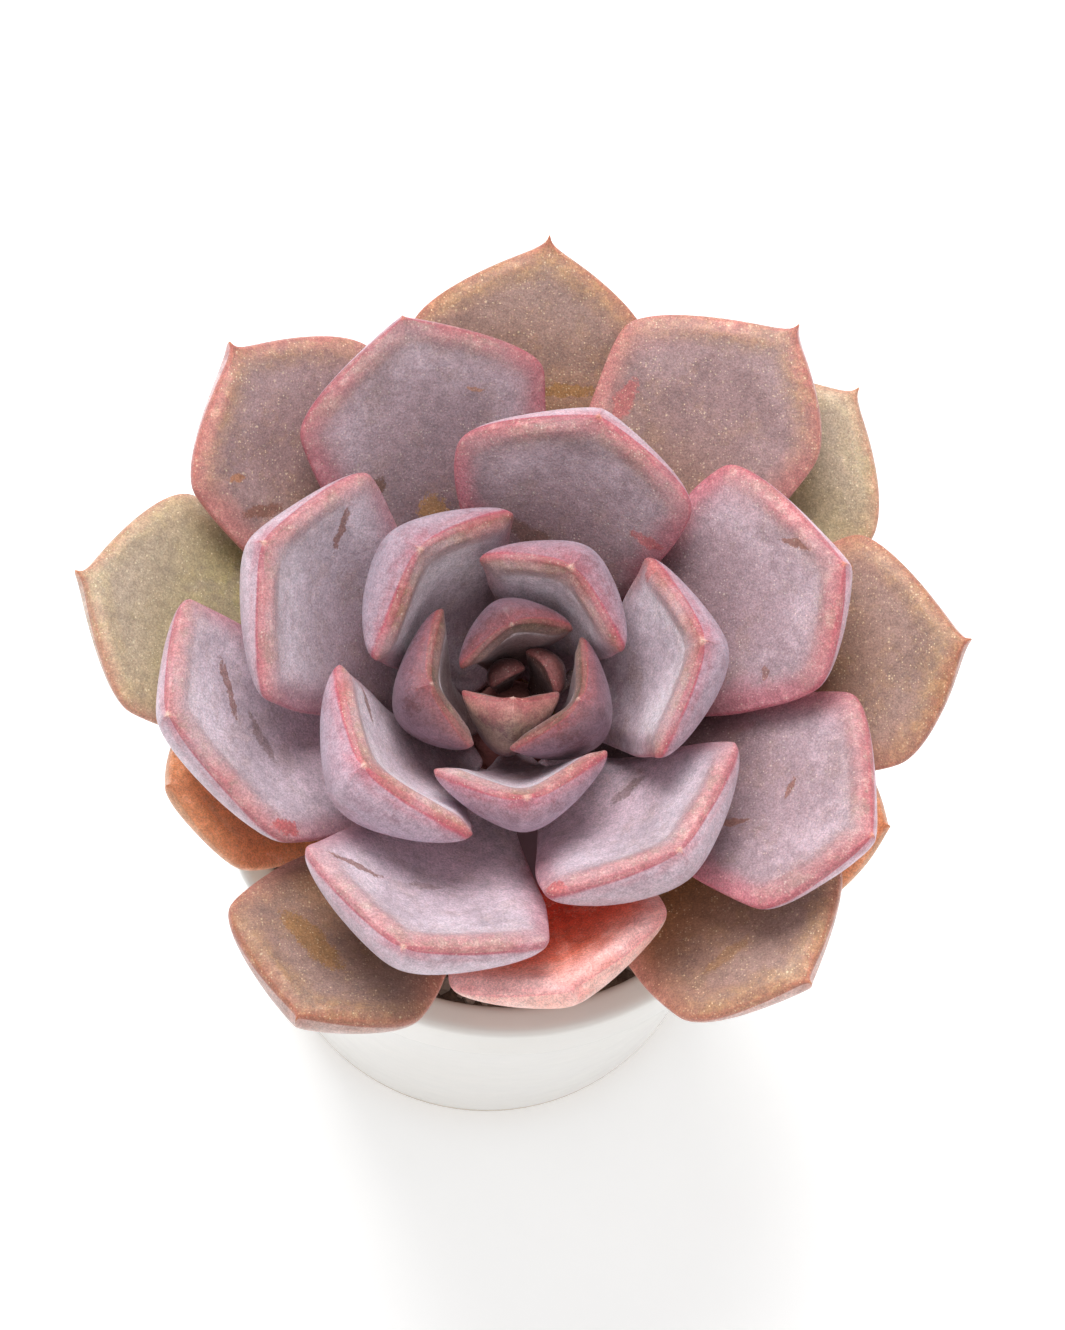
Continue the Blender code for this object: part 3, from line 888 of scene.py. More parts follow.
class Kind(Enum):
    """The skins, from the heart outwards."""

    # the tiny leaves deep in the heart, their colours painted near black for the shade that falls
    # there
    CORE = LeafSkin(
        face=(0.08, 0.035, 0.03), root=(0.05, 0.02, 0.015), bloom_and_highlight=(0.22, 0.12, 0.12),
        halo=(0.08, 0.04, 0.025), band=(0.15, 0.05, 0.045), blush=(0.14, 0.045, 0.045),
        rim=(0.30, 0.10, 0.10), back=(0.10, 0.038, 0.035), back_root=(0.05, 0.02, 0.018),
        tip=(0.34, 0.15, 0.14), band_width=0.7, band_start=0.2, tip_size=0.4, blotches=0.8,
    )
    HEART = LeafSkin(
        face=(0.38, 0.26, 0.27), root=(0.17, 0.09, 0.09), bloom_and_highlight=(0.72, 0.62, 0.66),
        halo=(0.11, 0.07, 0.03), band=(0.15, 0.05, 0.035), blush=(0.20, 0.06, 0.06),
        rim=(0.34, 0.07, 0.085), back=(0.20, 0.12, 0.16), back_root=(0.11, 0.045, 0.055),
        tip=(0.62, 0.40, 0.34), band_width=1.5, band_start=0.25, halo_strength=0.5,
        rim_width=0.10, tip_size=0.6, bloom_and_highlight_strength=0.8, patches=0.8, crest=1.0,
        blotches=0.75, sparkle=(0.52, 0.38, 0.30), root_reach=0.92,
        back_flush=0.3,
    )
    CRADLE = replace(HEART, back=(0.26, 0.18, 0.14), blush=(0.34, 0.12, 0.11), back_flush=0.55)
    INNER = LeafSkin(
        face=(0.64, 0.51, 0.58), root=(0.34, 0.22, 0.26), bloom_and_highlight=(0.84, 0.74, 0.80),
        halo=(0.27, 0.15, 0.075), band=(0.37, 0.115, 0.095), blush=(0.36, 0.095, 0.105),
        rim=(0.44, 0.075, 0.12), back=(0.48, 0.38, 0.46), back_root=(0.32, 0.19, 0.24),
        tip=(0.80, 0.52, 0.42), band_width=2.4, band_start=0.50, halo_strength=0.4,
        tip_size=0.9, patches=0.6, crest=0.7, bloom_and_highlight_strength=0.75, blotches=0.5,
        root_reach=0.70,
    )
    BUD = replace(
        INNER, back=(0.44, 0.33, 0.41), back_root=(0.26, 0.15, 0.19), blotches=0.7, back_flush=0.3
    )
    MIDDLE = LeafSkin(
        face=(0.53, 0.42, 0.48), root=(0.29, 0.18, 0.21), bloom_and_highlight=(0.74, 0.64, 0.71),
        band=(0.50, 0.195, 0.195), blush=(0.50, 0.24, 0.29), rim=(0.44, 0.095, 0.14),
        band_width=2.1, tip=(0.80, 0.52, 0.42), crest=0.35, bloom_and_highlight_strength=0.6, patches=0.55,
        wash=0.45,
    )
    # its base painted lighter than its face: painted light that lifts the shade at the bases of
    # these lower leaves
    LOWER = replace(MIDDLE, root=(0.74, 0.54, 0.62))
    ROSE = LeafSkin(
        face=(0.36, 0.25, 0.28), root=(0.165, 0.09, 0.095), bloom_and_highlight=(0.56, 0.44, 0.50),
        crest=0.2, wash=0.6,
        band=(0.43, 0.13, 0.14), blush=(0.52, 0.18, 0.22), rim=(0.46, 0.075, 0.12),
        tip=(0.62, 0.26, 0.19), band_width=2.2, bloom_and_highlight_strength=0.5,
    )
    OUTER = LeafSkin(
        face=(0.33, 0.21, 0.21), root=(0.28, 0.15, 0.08), bloom_and_highlight=(0.48, 0.35, 0.36),
        crest=0.1, wash=0.7,
        halo=(0.40, 0.24, 0.13), band=(0.49, 0.175, 0.15), blush=(0.56, 0.23, 0.22),
        rim=(0.50, 0.15, 0.13), back=(0.66, 0.54, 0.54), tip=(0.46, 0.16, 0.08),
        band_width=1.9, bloom_and_highlight_strength=0.3, halo_strength=0.6,
        sparkle=(0.86, 0.68, 0.48), grain=0.95,
    )
    OLD = LeafSkin(
        face=(0.345, 0.215, 0.18), root=(0.33, 0.145, 0.035), bloom_and_highlight=(0.46, 0.33, 0.30),
        crest=0.1, wash=0.5,
        halo=(0.42, 0.24, 0.10), band=(0.43, 0.165, 0.10), blush=(0.52, 0.235, 0.185),
        rim=(0.46, 0.145, 0.10), back=(0.70, 0.54, 0.50), back_root=(0.54, 0.36, 0.26),
        tip=(0.42, 0.15, 0.07), band_width=1.5, bloom_and_highlight_strength=0.2, halo_strength=0.6,
        sparkle=(0.88, 0.68, 0.44), grain=1.0, root_reach=0.86,
    )
    OLIVE = LeafSkin(
        face=(0.40, 0.31, 0.235), root=(0.37, 0.32, 0.09), bloom_and_highlight=(0.52, 0.43, 0.35),
        crest=0.1, wash=0.3,
        halo=(0.44, 0.34, 0.16), band=(0.50, 0.27, 0.18), blush=(0.50, 0.30, 0.22),
        rim=(0.50, 0.19, 0.13), back=(0.66, 0.54, 0.46), back_root=(0.48, 0.40, 0.20),
        tip=(0.50, 0.20, 0.10), band_width=1.3, bloom_and_highlight_strength=0.2, grain=0.9,
        sparkle=(0.82, 0.72, 0.50), root_reach=0.95,
    )
    CORAL = LeafSkin(
        face=(0.82, 0.17, 0.09), root=(0.80, 0.022, 0.006), bloom_and_highlight=(0.88, 0.46, 0.40),
        halo=(0.84, 0.38, 0.30), band=(0.80, 0.48, 0.47), blush=(0.80, 0.52, 0.53),
        rim=(0.80, 0.30, 0.31), back=(0.90, 0.56, 0.48), back_root=(0.86, 0.26, 0.16),
        tip=(0.66, 0.24, 0.26), sparkle=(0.95, 0.76, 0.68), band_width=3.0,
        halo_strength=0.6, bloom_and_highlight_strength=0.5, flesh=0.30, grain=0.4, patches=0.0, glow=0.10,
        shaded_base=0.50, root_reach=0.92,
    )
    DRY = LeafSkin(
        face=(0.84, 0.30, 0.13), root=(0.70, 0.27, 0.10), bloom_and_highlight=(0.80, 0.44, 0.26),
        halo=(0.74, 0.30, 0.12), band=(0.80, 0.34, 0.17), blush=(0.78, 0.34, 0.19),
        rim=(0.52, 0.20, 0.10), back=(0.62, 0.36, 0.22), back_root=(0.46, 0.26, 0.14),
        tip=(0.44, 0.16, 0.07), bloom_and_highlight_strength=0.1, grain=0.4,
    )


class Mark(Enum):
    """The colours that scuffs have."""

    BROWN = (0.22, 0.09, 0.06)
    UMBER = (0.15, 0.07, 0.045)
    RUST = (0.42, 0.18, 0.08)
    OCHRE = (0.36, 0.18, 0.06)
    RED = (0.50, 0.12, 0.12)
    OLIVE = (0.36, 0.23, 0.08)


@dataclass(frozen=True)
class Leaf:
    """One leaf: where its tip is, how wide it is, how it bends, and how it is coloured.

    Angles are in degrees and lengths in metres.
    """

    azimuth: float  # compass direction of the tip, from +X towards +Y
    reach: float  # distance of the tip from the stem's axis
    tip_z: float  # height of the tip
    width: float
    curl: float  # how far the midrib bends upwards from base to tip
    fold: float  # how steeply the two halves rise from the midrib
    thickness: float
    roll: float = 0.0  # turn of the blade about its midrib at the tip
    lean: float = 0.0  # share by which the left half is wider
    skew: float = 0.0  # how far the left shoulder lies ahead of the right one
    corner: float = 0.0  # how sharp the shoulders are; below 0 the tip is rounder
    kind: Kind = Kind.MIDDLE
    tone: float = 1.0
    scuffs: tuple[Scuff, ...] = ()


LEAVES = (
    Leaf(120, 0.0012, 0.0875, 0.0045, 30, 20, 0.0013, kind=Kind.CORE, tone=0.9),
    Leaf(32, 0.0035, 0.0890, 0.0062, 36, 26, 0.0014, kind=Kind.CORE, tone=1.1),
    Leaf(259, 0.0028, 0.0925, 0.0112, 44, 38, 0.0026, 14, corner=1, kind=Kind.CRADLE, tone=1.2),
    Leaf(99, 0.0044, 0.0948, 0.0136, 50, 30, 0.0028, 15, corner=1, kind=Kind.HEART, tone=0.9),
    Leaf(329, 0.0072, 0.0950, 0.0158, 50, 38, 0.0032, corner=1, kind=Kind.HEART),
    Leaf(194, 0.0095, 0.0950, 0.0168, 50, 30, 0.0038, 4, -0.15, corner=1, kind=Kind.HEART),
    Leaf(62, 0.0114, 0.0980, 0.0195, 49, 25, 0.0043, -8, corner=1, kind=Kind.BUD, tone=0.9),
    Leaf(273, 0.0152, 0.0960, 0.0198, 38, 30, 0.0032, 5, corner=1, kind=Kind.BUD),
    Leaf(132, 0.0160, 0.0980, 0.0238, 56, 19, 0.0055, 10, corner=1, kind=Kind.INNER, tone=0.87),
    Leaf(6, 0.0198, 0.0980, 0.0240, 46, 22, 0.0046, -5, corner=1, kind=Kind.INNER, scuffs=(
        Scuff(22, 10, 60, 3.0, 1.0, 0.5, Mark.RED.value),)),
    Leaf(217, 0.0208, 0.0980, 0.0250, 50, 23, 0.0055, corner=1, kind=Kind.INNER, tone=1.1, scuffs=(
        Scuff(19, -7.5, 88, 4.5, 0.8),)),
    Leaf(73, 0.0297, 0.0970, 0.0275, 38, 14, 0.0052, 0, 0.06, corner=-0.8,
         kind=Kind.ROSE, tone=0.98, scuffs=(
        Scuff(17, 4, 70, 6.0, 2.0, 0.6, Mark.UMBER.value),
        Scuff(21, -9, 80, 4.0, 1.2, 0.6, Mark.RED.value))),
    Leaf(310, 0.0270, 0.0950, 0.0280, 38, 16, 0.0054, corner=0.5,
         kind=Kind.LOWER, tone=1.02, scuffs=(
        Scuff(24.5, -12.5, 40, 2.4, 1.4, 0.8, Mark.RED.value),
        Scuff(14, 3, 80, 4.5, 1.5, 0.5, Mark.UMBER.value))),
    Leaf(155, 0.0308, 0.0970, 0.0295, 42, 16, 0.0057, 4, 0.03, corner=0.5,
         kind=Kind.MIDDLE, tone=0.94, scuffs=(
        Scuff(27, -7, -65, 5.0, 1.0),)),
    Leaf(19, 0.0380, 0.0950, 0.0285, 26, 8, 0.0052, 0, 0.20, corner=0.15,
         kind=Kind.ROSE, tone=1.15, scuffs=(
        Scuff(35.5, 4.5, -44, 3.8, 0.8), Scuff(26, -7, 60, 1.6, 0.8, 0.6))),
    Leaf(249, 0.0346, 0.0960, 0.0290, 35, 16, 0.0052, corner=0.7,
         kind=Kind.LOWER, tone=1.02, scuffs=(
        Scuff(28.5, -8.7, 111, 6.5, 0.9), Scuff(24, -1, 120, 4.0, 1.0, 0.4, Mark.UMBER.value))),
    Leaf(107, 0.0440, 0.0920, 0.0295, 24, 8, 0.0050, 4, 0.03, corner=0.3,
         kind=Kind.ROSE, tone=0.88, scuffs=(
        Scuff(26, 8, -60, 2.8, 1.8, 0.8, Mark.UMBER.value),
        Scuff(20.5, 2, 0, 5.5, 3.6, 0.75, Mark.OCHRE.value),
        Scuff(34, -6, 70, 2.0, 0.5, 0.6, Mark.RUST.value))),
    Leaf(336, 0.0427, 0.0900, 0.0275, 20, 8, 0.0048, 0, 0.15, corner=0.35,
         kind=Kind.ROSE, tone=1.14, scuffs=(
        Scuff(30, 3, 84, 2.6, 0.9), Scuff(25, -2.5, 24, 3.4, 0.9))),
    Leaf(188, 0.0385, 0.0920, 0.0285, 38, 12, 0.0052, 5, 0, -0.13, corner=0.5,
         kind=Kind.LOWER, tone=0.98, scuffs=(
        Scuff(31, -4, 107, 6.5, 1.0, 0.7), Scuff(27, 1, 110, 6.0, 1.3, 0.45, Mark.UMBER.value),
        Scuff(27, 12.5, 172, 3.6, 1.6, 0.85, Mark.RED.value))),
    Leaf(53, 0.0525, 0.0920, 0.0270, 20, 6, 0.0054, 0, 0.22, kind=Kind.OUTER, tone=1.05, scuffs=(
        Scuff(34, 11.5, 7, 5.0, 2.2, 0.6, Mark.RED.value),)),
    Leaf(280, 0.0354, 0.0885, 0.0255, 43, 10, 0.0040, 10, 0, -0.05, kind=Kind.CORAL, tone=0.9),
    Leaf(129, 0.0512, 0.0890, 0.0282, 33, 4, 0.0050, 11, -0.04, kind=Kind.OUTER, scuffs=(
        Scuff(33, 8, -114, 5.0, 1.5), Scuff(38, 8.5, -125, 2.2, 0.9, 0.7, Mark.RUST.value),
        Scuff(27, -8, 80, 9.0, 5.0, 0.5, Mark.OLIVE.value))),
    Leaf(7, 0.0510, 0.0880, 0.0272, 23, 4, 0.0048, 7, 0.13, kind=Kind.OLD, scuffs=(
        Scuff(37, 11.5, 3, 2.4, 1.1, 0.8, Mark.RUST.value),
        Scuff(31, -2.5, 63, 6.5, 2.2, 0.7, Mark.BROWN.value))),
    Leaf(238, 0.0448, 0.0865, 0.0250, 25, 6, 0.0048, 4, -0.12, kind=Kind.OLD, tone=0.84, scuffs=(
        Scuff(33, -4, 72, 9.0, 3.4, 0.75, Mark.OCHRE.value),)),
    Leaf(86, 0.0541, 0.0880, 0.0278, 27, 4, 0.0048, 0, 0.09, kind=Kind.OLD, tone=1.02, scuffs=(
        Scuff(36, -3, -86, 7.0, 1.4, 0.8, Mark.OCHRE.value),)),
    Leaf(315, 0.0460, 0.0840, 0.0260, 30, 4, 0.0042, 2, 0.08, kind=Kind.OLD, tone=1.0, scuffs=(
        Scuff(34, -3, 85, 6.0, 1.6, 0.45, Mark.OCHRE.value),)),
    Leaf(164, 0.0510, 0.0840, 0.0284, 25, 4, 0.0042, 10, -0.07, kind=Kind.OLIVE, scuffs=(
        Scuff(32, 8, 90, 2.0, 1.4, 0.5, Mark.RUST.value),)),
    Leaf(44, 0.0545, 0.0835, 0.0265, 25, 2, 0.0044, kind=Kind.OLIVE, tone=1.12),
    Leaf(258, 0.0220, 0.0665, 0.0170, 6, 4, 0.0028, kind=Kind.DRY),
    Leaf(116, 0.0260, 0.0668, 0.0170, 6, 4, 0.0028, kind=Kind.DRY),
    Leaf(343, 0.0440, 0.0790, 0.0205, 54, 4, 0.0030, 8, kind=Kind.DRY),
    Leaf(193, 0.0395, 0.0775, 0.0205, 54, 4, 0.0030, 10, kind=Kind.DRY),
)


@dataclass(frozen=True)
class LeafPlan:
    """The sizes that all leaves share, in metres or in shares of a leaf's length.

    The frame's leaves have the same ones, apart from their shoulders, points and waver.
    """

    gap: float = 0.0003  # between a leaf and the stem
    stem_radius: float = 0.0050
    lowest_leaf: float = 0.0625  # height at which the oldest leaf joins
    pitch: float = 0.00060  # rise from each leaf to the next younger one
    dome_leaves: int = 12  # the youngest ones, which stand on the stem's domed end
    young_leaves: int = 21  # the youngest ones, which are passed the young leaves' slot name
    blunt_leaves: int = 19  # the youngest ones, whose points are short
    base_half_width: float = 0.0008
    base_share: float = 0.055  # share of the leaf's width that is added to it
    base_thickness: float = 0.0014
    base_slimness: float = 0.5  # the base is at most this share of the leaf's thickness
    shoulder: float = 0.77  # where the blade is widest
    widening: float = 0.65  # how steeply the width starts at the base
    outline_power: float = 1.7  # how full the outline is from the shoulders to the tip
    corner_power: float = 0.35  # how much less full a sharp corner makes it
    belly: float = 0.60  # where the blade is thickest
    thickening: float = 0.8  # how steeply the thickness starts at the base
    bow_power: float = 2.8  # how late the blade thins towards the tip
    young_bow: float = 0.55  # how blunt the youngest leaf's tip is
    bow_ageing: float = 0.40  # how much sharper the oldest leaf's tip is
    back_power: float = 0.7  # how round the back is
    hollow: float = 0.6  # from here on the fold is at its full slope
    folding: float = 0.3  # how steeply the fold starts at the base
    fold_rounding: float = 0.0025
    edge: float = 0.0010  # depth of the rounded margin
    bevel_width: float = 0.0028
    bevel_rise: float = 0.0009
    ridge_width: float = 0.0007  # the crest inside the margin of a sharp leaf
    ridge_rise: float = 0.00012
    tip_point: float = 0.0013  # length of the drawn-out point
    point_leaf: float = 0.026  # width of the leaf that has a point of that length
    point_share: float = 0.10  # half width of the point, as a share of the blade's
    short_point: float = 0.3  # how much of a point the youngest leaves have
    narrowing: float = 0.992  # mean of the outline's waver
    unevenness: float = 0.018  # size of the outline's waver

    def attachment(self, number: int) -> tuple[float, float]:
        """Works out where a leaf joins the stem.

        Args:
            number: the leaf's place in the spiral, 0 for the youngest.

        Returns:
            Distance from the axis, and height.
        """
        spread = min(1.0, math.sqrt((number + 1) / self.dome_leaves))
        height = self.lowest_leaf + self.pitch * (len(LEAVES) - 1 - number)
        return self.stem_radius * spread + self.gap, height


class Blade:
    """The surface of one leaf, as a function of the place along it and round it."""

    def __init__(self, plan: LeafPlan, leaf: Leaf, number: int) -> None:
        """Works out the leaf's arc from its base on the stem to its tip.

        Args:
            plan: the sizes that all leaves share.
            leaf: the leaf's own sizes.
            number: its place in the spiral, 0 for the youngest.
        """
        self.plan = plan
        self.leaf = leaf
        self.base = Vector(plan.attachment(number))
        chord = Vector((leaf.reach, leaf.tip_z)) - self.base
        self.curl = math.radians(leaf.curl)
        half = self.curl / 2
        self.start = math.atan2(chord.y, chord.x) - half
        self.length = chord.length * half / math.sin(half)
        self.half_width = leaf.width / 2
        self.base_half_width = plan.base_half_width + plan.base_share * leaf.width
        self.base_thickness = min(plan.base_thickness, plan.base_slimness * leaf.thickness)
        self.taper = plan.young_bow + plan.bow_ageing * number / len(LEAVES)
        self.mucro = 1.0 if number >= plan.blunt_leaves else plan.short_point
        self.corner = leaf.corner
        self.seed = 3.7 * number
        self.point = self.mucro * plan.tip_point * leaf.width / plan.point_leaf / self.length

    def width_at(self, u: float) -> float:
        """Half width of the blade.

        Args:
            u: place along the leaf, from 0 at the base to 1 at the tip.

        Returns:
            The half width there.
        """
        plan = self.plan
        if u < plan.shoulder:
            x = u / plan.shoulder
            grow = ease(x, plan.widening) - max(0.0, self.corner) * (1 - x) * x**5
            return self.base_half_width + (self.half_width - self.base_half_width) * grow
        d = min(1.0, (u - plan.shoulder) / (1 - self.point - plan.shoulder))
        blade = self.half_width * (1 - d ** (plan.outline_power - plan.corner_power * self.corner))
        spine = plan.point_share * self.mucro * self.half_width
        spine *= min(1.0, max(0.0, (1 - u) / (3 * self.point)))
        return math.hypot(blade, spine)

    def thickness_at(self, u: float) -> float:
        """Depth of the blade, which is blunt at the tip like the bow of a boat.

        Args:
            u: place along the leaf, from 0 at the base to 1 at the tip.

        Returns:
            The depth there.
        """
        plan, full = self.plan, self.leaf.thickness
        if u < plan.belly:
            grow = ease(u / plan.belly, plan.thickening)
            return self.base_thickness + (full - self.base_thickness) * grow
        d = min(1.0, (u - plan.belly) / (1 - plan.belly))
        return full * (1 - d**plan.bow_power) ** self.taper

    def frame_at(self, u: float) -> tuple[Vector, Vector, Vector]:
        """Follows the midrib, which is an arc.

        Args:
            u: place along the leaf, from 0 at the base to 1 at the tip.

        Returns:
            The point on the midrib, and the sideways and upward directions there.
        """
        angle = self.start + self.curl * u
        radius = self.length / self.curl
        r = self.base.x + radius * (math.sin(angle) - math.sin(self.start))
        z = self.base.y - radius * (math.cos(angle) - math.cos(self.start))
        forward = Vector((math.cos(angle), 0, math.sin(angle)))
        turn = Matrix.Rotation(math.radians(self.leaf.roll) * u, 3, forward)
        across = turn @ Vector((0, 1, 0))
        upward = turn @ Vector((-math.sin(angle), 0, math.cos(angle)))
        return Vector((r, 0, z)), across, upward

    def lead(self, u: float, x: float) -> float:
        """Share of the length at which the point at u along and x across really lies."""
        return u + self.leaf.skew * x * math.sin(math.pi * u**1.5)

    def spread(self, u: float, x: float) -> float:
        """Distance of a point from the midrib.

        Args:
            u: place along the leaf, from 0 to 1.
            x: place across it, from -1 to 1.

        Returns:
            The distance, below 0 on the right side.
        """
        wave = noise.noise(Vector((7 * u, 2 * x, self.seed)))
        waver = self.plan.narrowing + self.plan.unevenness * wave
        return x * waver * self.width_at(u) * (1 + math.copysign(1, x) * self.leaf.lean)

    def surface(self, u: float, x: float, on_back: bool) -> Vector:
        """Point of the upper face, or of the back, with a rounded margin between them.

        Args:
            u: place along the leaf, from 0 to 1.
            x: place across it, from -1 to 1.
            on_back: whether the point is on the back.

        Returns:
            The point, in the leaf's own frame.
        """
        plan = self.plan
        centre, across, upward = self.frame_at(self.lead(u, x))
        half = self.width_at(u)
        s = self.spread(u, x)
        fold = math.tan(math.radians(self.leaf.fold)) * ease(u / plan.hollow, plan.folding)
        lift = fold * (math.hypot(s, plan.fold_rounding) - plan.fold_rounding)
        room = min(1.0, half / (2 * plan.bevel_width))
        inset = half * (1 - abs(x))
        crown = room * plan.bevel_rise * ease(inset / plan.bevel_width)
        ridge = (inset - plan.bevel_width) / plan.ridge_width
        sharp = max(0.0, 2 * self.corner - 1)
        crown += plan.ridge_rise * room * sharp * math.exp(-ridge * ridge)
        edge = min(plan.edge, 0.6 * self.thickness_at(u) + 0.0002) / 2
        away = 1 - min(1.0, inset / edge)
        bulge = edge * math.sqrt(max(0.0, 1 - away * away))
        depth = self.thickness_at(u) * max(0.0, 1 - x * x) ** plan.back_power
        height = lift - edge + (-bulge - depth if on_back else bulge + crown)
        return centre + across * s + upward * height

    def outline(self) -> np.ndarray:
        """Lays the margin flat.

        Returns:
            A row for each of its points: along and across, in millimetres.
        """
        rows = []
        first, last = 10, 140
        for side in (-1.0, 1.0):
            for k in range(first, last + 1):
                u = k / last
                rows.append((self.lead(u, side) * self.length, self.spread(u, side)))
        return np.array(rows) / MM


@dataclass
class Rosette:
    """The plant's leaves, all from one blank that is bent to each leaf's plan."""

    plan: LeafPlan = field(default_factory=LeafPlan)
    around: int = 40
    stations: int = 34
    crowding: float = 1.35  # how much closer the stations stand towards the tip
    waver: float = 0.00016  # gentle unevenness of the flesh
    broad_waves: float = 140
    fine_waves: float = 520
    fine_share: float = 0.45
    back_step: float = 0.4  # millimetres that the margin attribute jumps at the back

    def blank(self) -> bpy.types.Object:
        """Makes the blank from which the leaves are bent.

        Returns:
            One closed tube along Z from 0 to 1, cut into even stations.
        """
        clear_selection()
        bpy.ops.mesh.primitive_cylinder_add(
            vertices=self.around, radius=1.0, depth=1.0,
            end_fill_type="TRIFAN", location=(0.0, 0.0, 0.5),
        )
        blank = bpy.context.object
        blank.name = "leaf_blank"
        settle(blank)
        mesh = edit(blank)
        bpy.ops.mesh.select_mode(type="EDGE")
        for cut in mesh.edges:
            low, high = (v.co.z for v in cut.verts)
            cut.select = abs(high - low) > 0.5
        bmesh.update_edit_mesh(blank.data)
        bpy.ops.mesh.subdivide(number_cuts=self.stations - 1)
        bpy.ops.object.mode_set(mode="OBJECT")
        return blank

    def bend(self, blank: bpy.types.Object, leaf: Leaf, number: int) -> bpy.types.Object:
        """Copies the blank and bends it into one leaf.

        Args:
            blank: the blank tube.
            leaf: the leaf's plan.
            number: its place in the spiral, 0 for the youngest.

        Returns:
            The leaf, in its own mesh.
        """
        piece = blank.copy()
        piece.data = blank.data.copy()
        piece.name = piece.data.name = f"blade_{number + 1:02d}"
        bpy.context.scene.collection.objects.link(piece)
        blade = Blade(self.plan, leaf, number)
        turn = Matrix.Rotation(math.radians(leaf.azimuth), 3, "Z")
        seed = Vector((number * 7.3, number * 3.1, 0.0))
        mesh = bmesh.new()
        mesh.from_mesh(piece.data)
        layers = {name: mesh.verts.layers.float.new(name) for name in ("margin", "along", "tip")}
        flat = mesh.verts.layers.float_vector.new("flat")
        rows, laid = [], []
        for vertex in mesh.verts:
            x, y, t = vertex.co
            if math.hypot(x, y) < 0.5:  # the middle of an end cap
                x, y = 0.0, 0.0
            u = 1 - (1 - t) ** self.crowding
            x = max(-1.0, min(1.0, x))
            on_back = y < -1e-4
            point = blade.surface(u, x, on_back)
            if t < 1e-6 and x == 0.0 and y == 0.0:
                point = (blade.surface(0, 0, False) + blade.surface(0, 0, True)) / 2
            fine = noise.noise(point * self.fine_waves + seed)
            sway = noise.noise(point * self.broad_waves + seed) + self.fine_share * fine
            sway *= ease(u / 0.3) * ease((1 - u) / 0.1)
            point = point + blade.frame_at(u)[2] * sway * self.waver
            vertex.co = turn @ point
            rows.append((vertex, u, on_back))
            laid.append((blade.lead(u, x) * blade.length / MM, blade.spread(u, x) / MM))
        laid = np.array(laid)
        edge = blade.outline()
        near = np.sqrt(((laid[:, None, :] - edge[None, :, :]) ** 2).sum(2)).min(1)
        end = turn @ blade.surface(1, 0, False)
        for (vertex, u, on_back), place, away in zip(rows, laid, near):
            vertex[layers["margin"]] = float(-away - self.back_step if on_back else away)
            vertex[layers["along"]] = float(u)
            vertex[layers["tip"]] = (vertex.co - end).length / MM
            vertex[flat] = (float(place[0]), float(place[1]), 0.0)
        bmesh.ops.remove_doubles(mesh, verts=mesh.verts, dist=2e-6)
        bmesh.ops.recalc_face_normals(mesh, faces=mesh.faces)
        mesh.to_mesh(piece.data)
        mesh.free()
        apply_modifier(piece, "SUBSURF", levels=1, render_levels=1)
        piece.data.shade_smooth()
        return piece

    def build(self) -> None:
        """Bends, dresses and enlists every leaf."""
        blank = self.blank()
        for number, leaf in enumerate(LEAVES):
            piece = self.bend(blank, leaf, number)
            skin = leaf.kind.value
            dress(piece, skin.material(f"skin_{number + 1:02d}", leaf.tone, leaf.scuffs))
            slot = "young_leaf" if number < self.plan.young_leaves else "old_leaf"
            enlist(piece, slot, f"leaf_{number + 1:02d}")
        bpy.data.objects.remove(blank)


# ------------------------------------------------------------------ pot, soil and trunk


def turned(name: str, profile: list[tuple[float, float]], steps: int) -> bpy.types.Object:
    """Turns a profile of (radius, height) about Z into a closed body, as on a wheel.

    Args:
        name: the new object's name.
        profile: the points of the profile, which starts and ends on the axis or closes on itself.
        steps: how many parts the turn has.

    Returns:
        The new object.
    """
    clear_selection()
    bpy.ops.mesh.primitive_circle_add(vertices=3, radius=0.01)
    piece = bpy.context.object
    piece.name = piece.data.name = name
    mesh = edit(piece)
    bmesh.ops.delete(mesh, geom=mesh.verts, context="VERTS")
    line = [mesh.verts.new((r, 0.0, z)) for r, z in profile]
    for a, b in zip(line, line[1:]):
        mesh.edges.new((a, b))
    for part in (*mesh.verts, *mesh.edges):
        part.select = True
    bmesh.update_edit_mesh(piece.data)
    bpy.ops.mesh.spin(steps=steps, angle=math.tau, center=(0, 0, 0), axis=(0, 0, 1))
    bpy.ops.mesh.select_all(action="SELECT")
    bpy.ops.mesh.remove_doubles(threshold=1e-6)
    bpy.ops.mesh.normals_make_consistent(inside=False)
    bpy.ops.object.mode_set(mode="OBJECT")
    return piece


def rounded(profile: list[tuple[float, float, float]]) -> list[tuple[float, float]]:
    """Rounds the corners of a profile.

    Args:
        profile: radius, height and corner radius of each point.

    Returns:
        The points of the rounded profile.
    """
    made = []
    last = len(profile) - 1
    for k, (r, z, corner) in enumerate(profile):
        if corner <= 0 or k in (0, last):
            made.append((r, z))
            continue
        here = Vector((r, z))
        before = Vector(profile[k - 1][:2]) - here
        after = Vector(profile[k + 1][:2]) - here
        cut = min(corner, 0.45 * before.length, 0.45 * after.length)
        start, end = here + before.normalized() * cut, here + after.normalized() * cut
        parts = 5
        for i in range(parts + 1):
            t = i / parts
            made.append(tuple(start * (1 - t) ** 2 + here * 2 * t * (1 - t) + end * t * t))
    return made


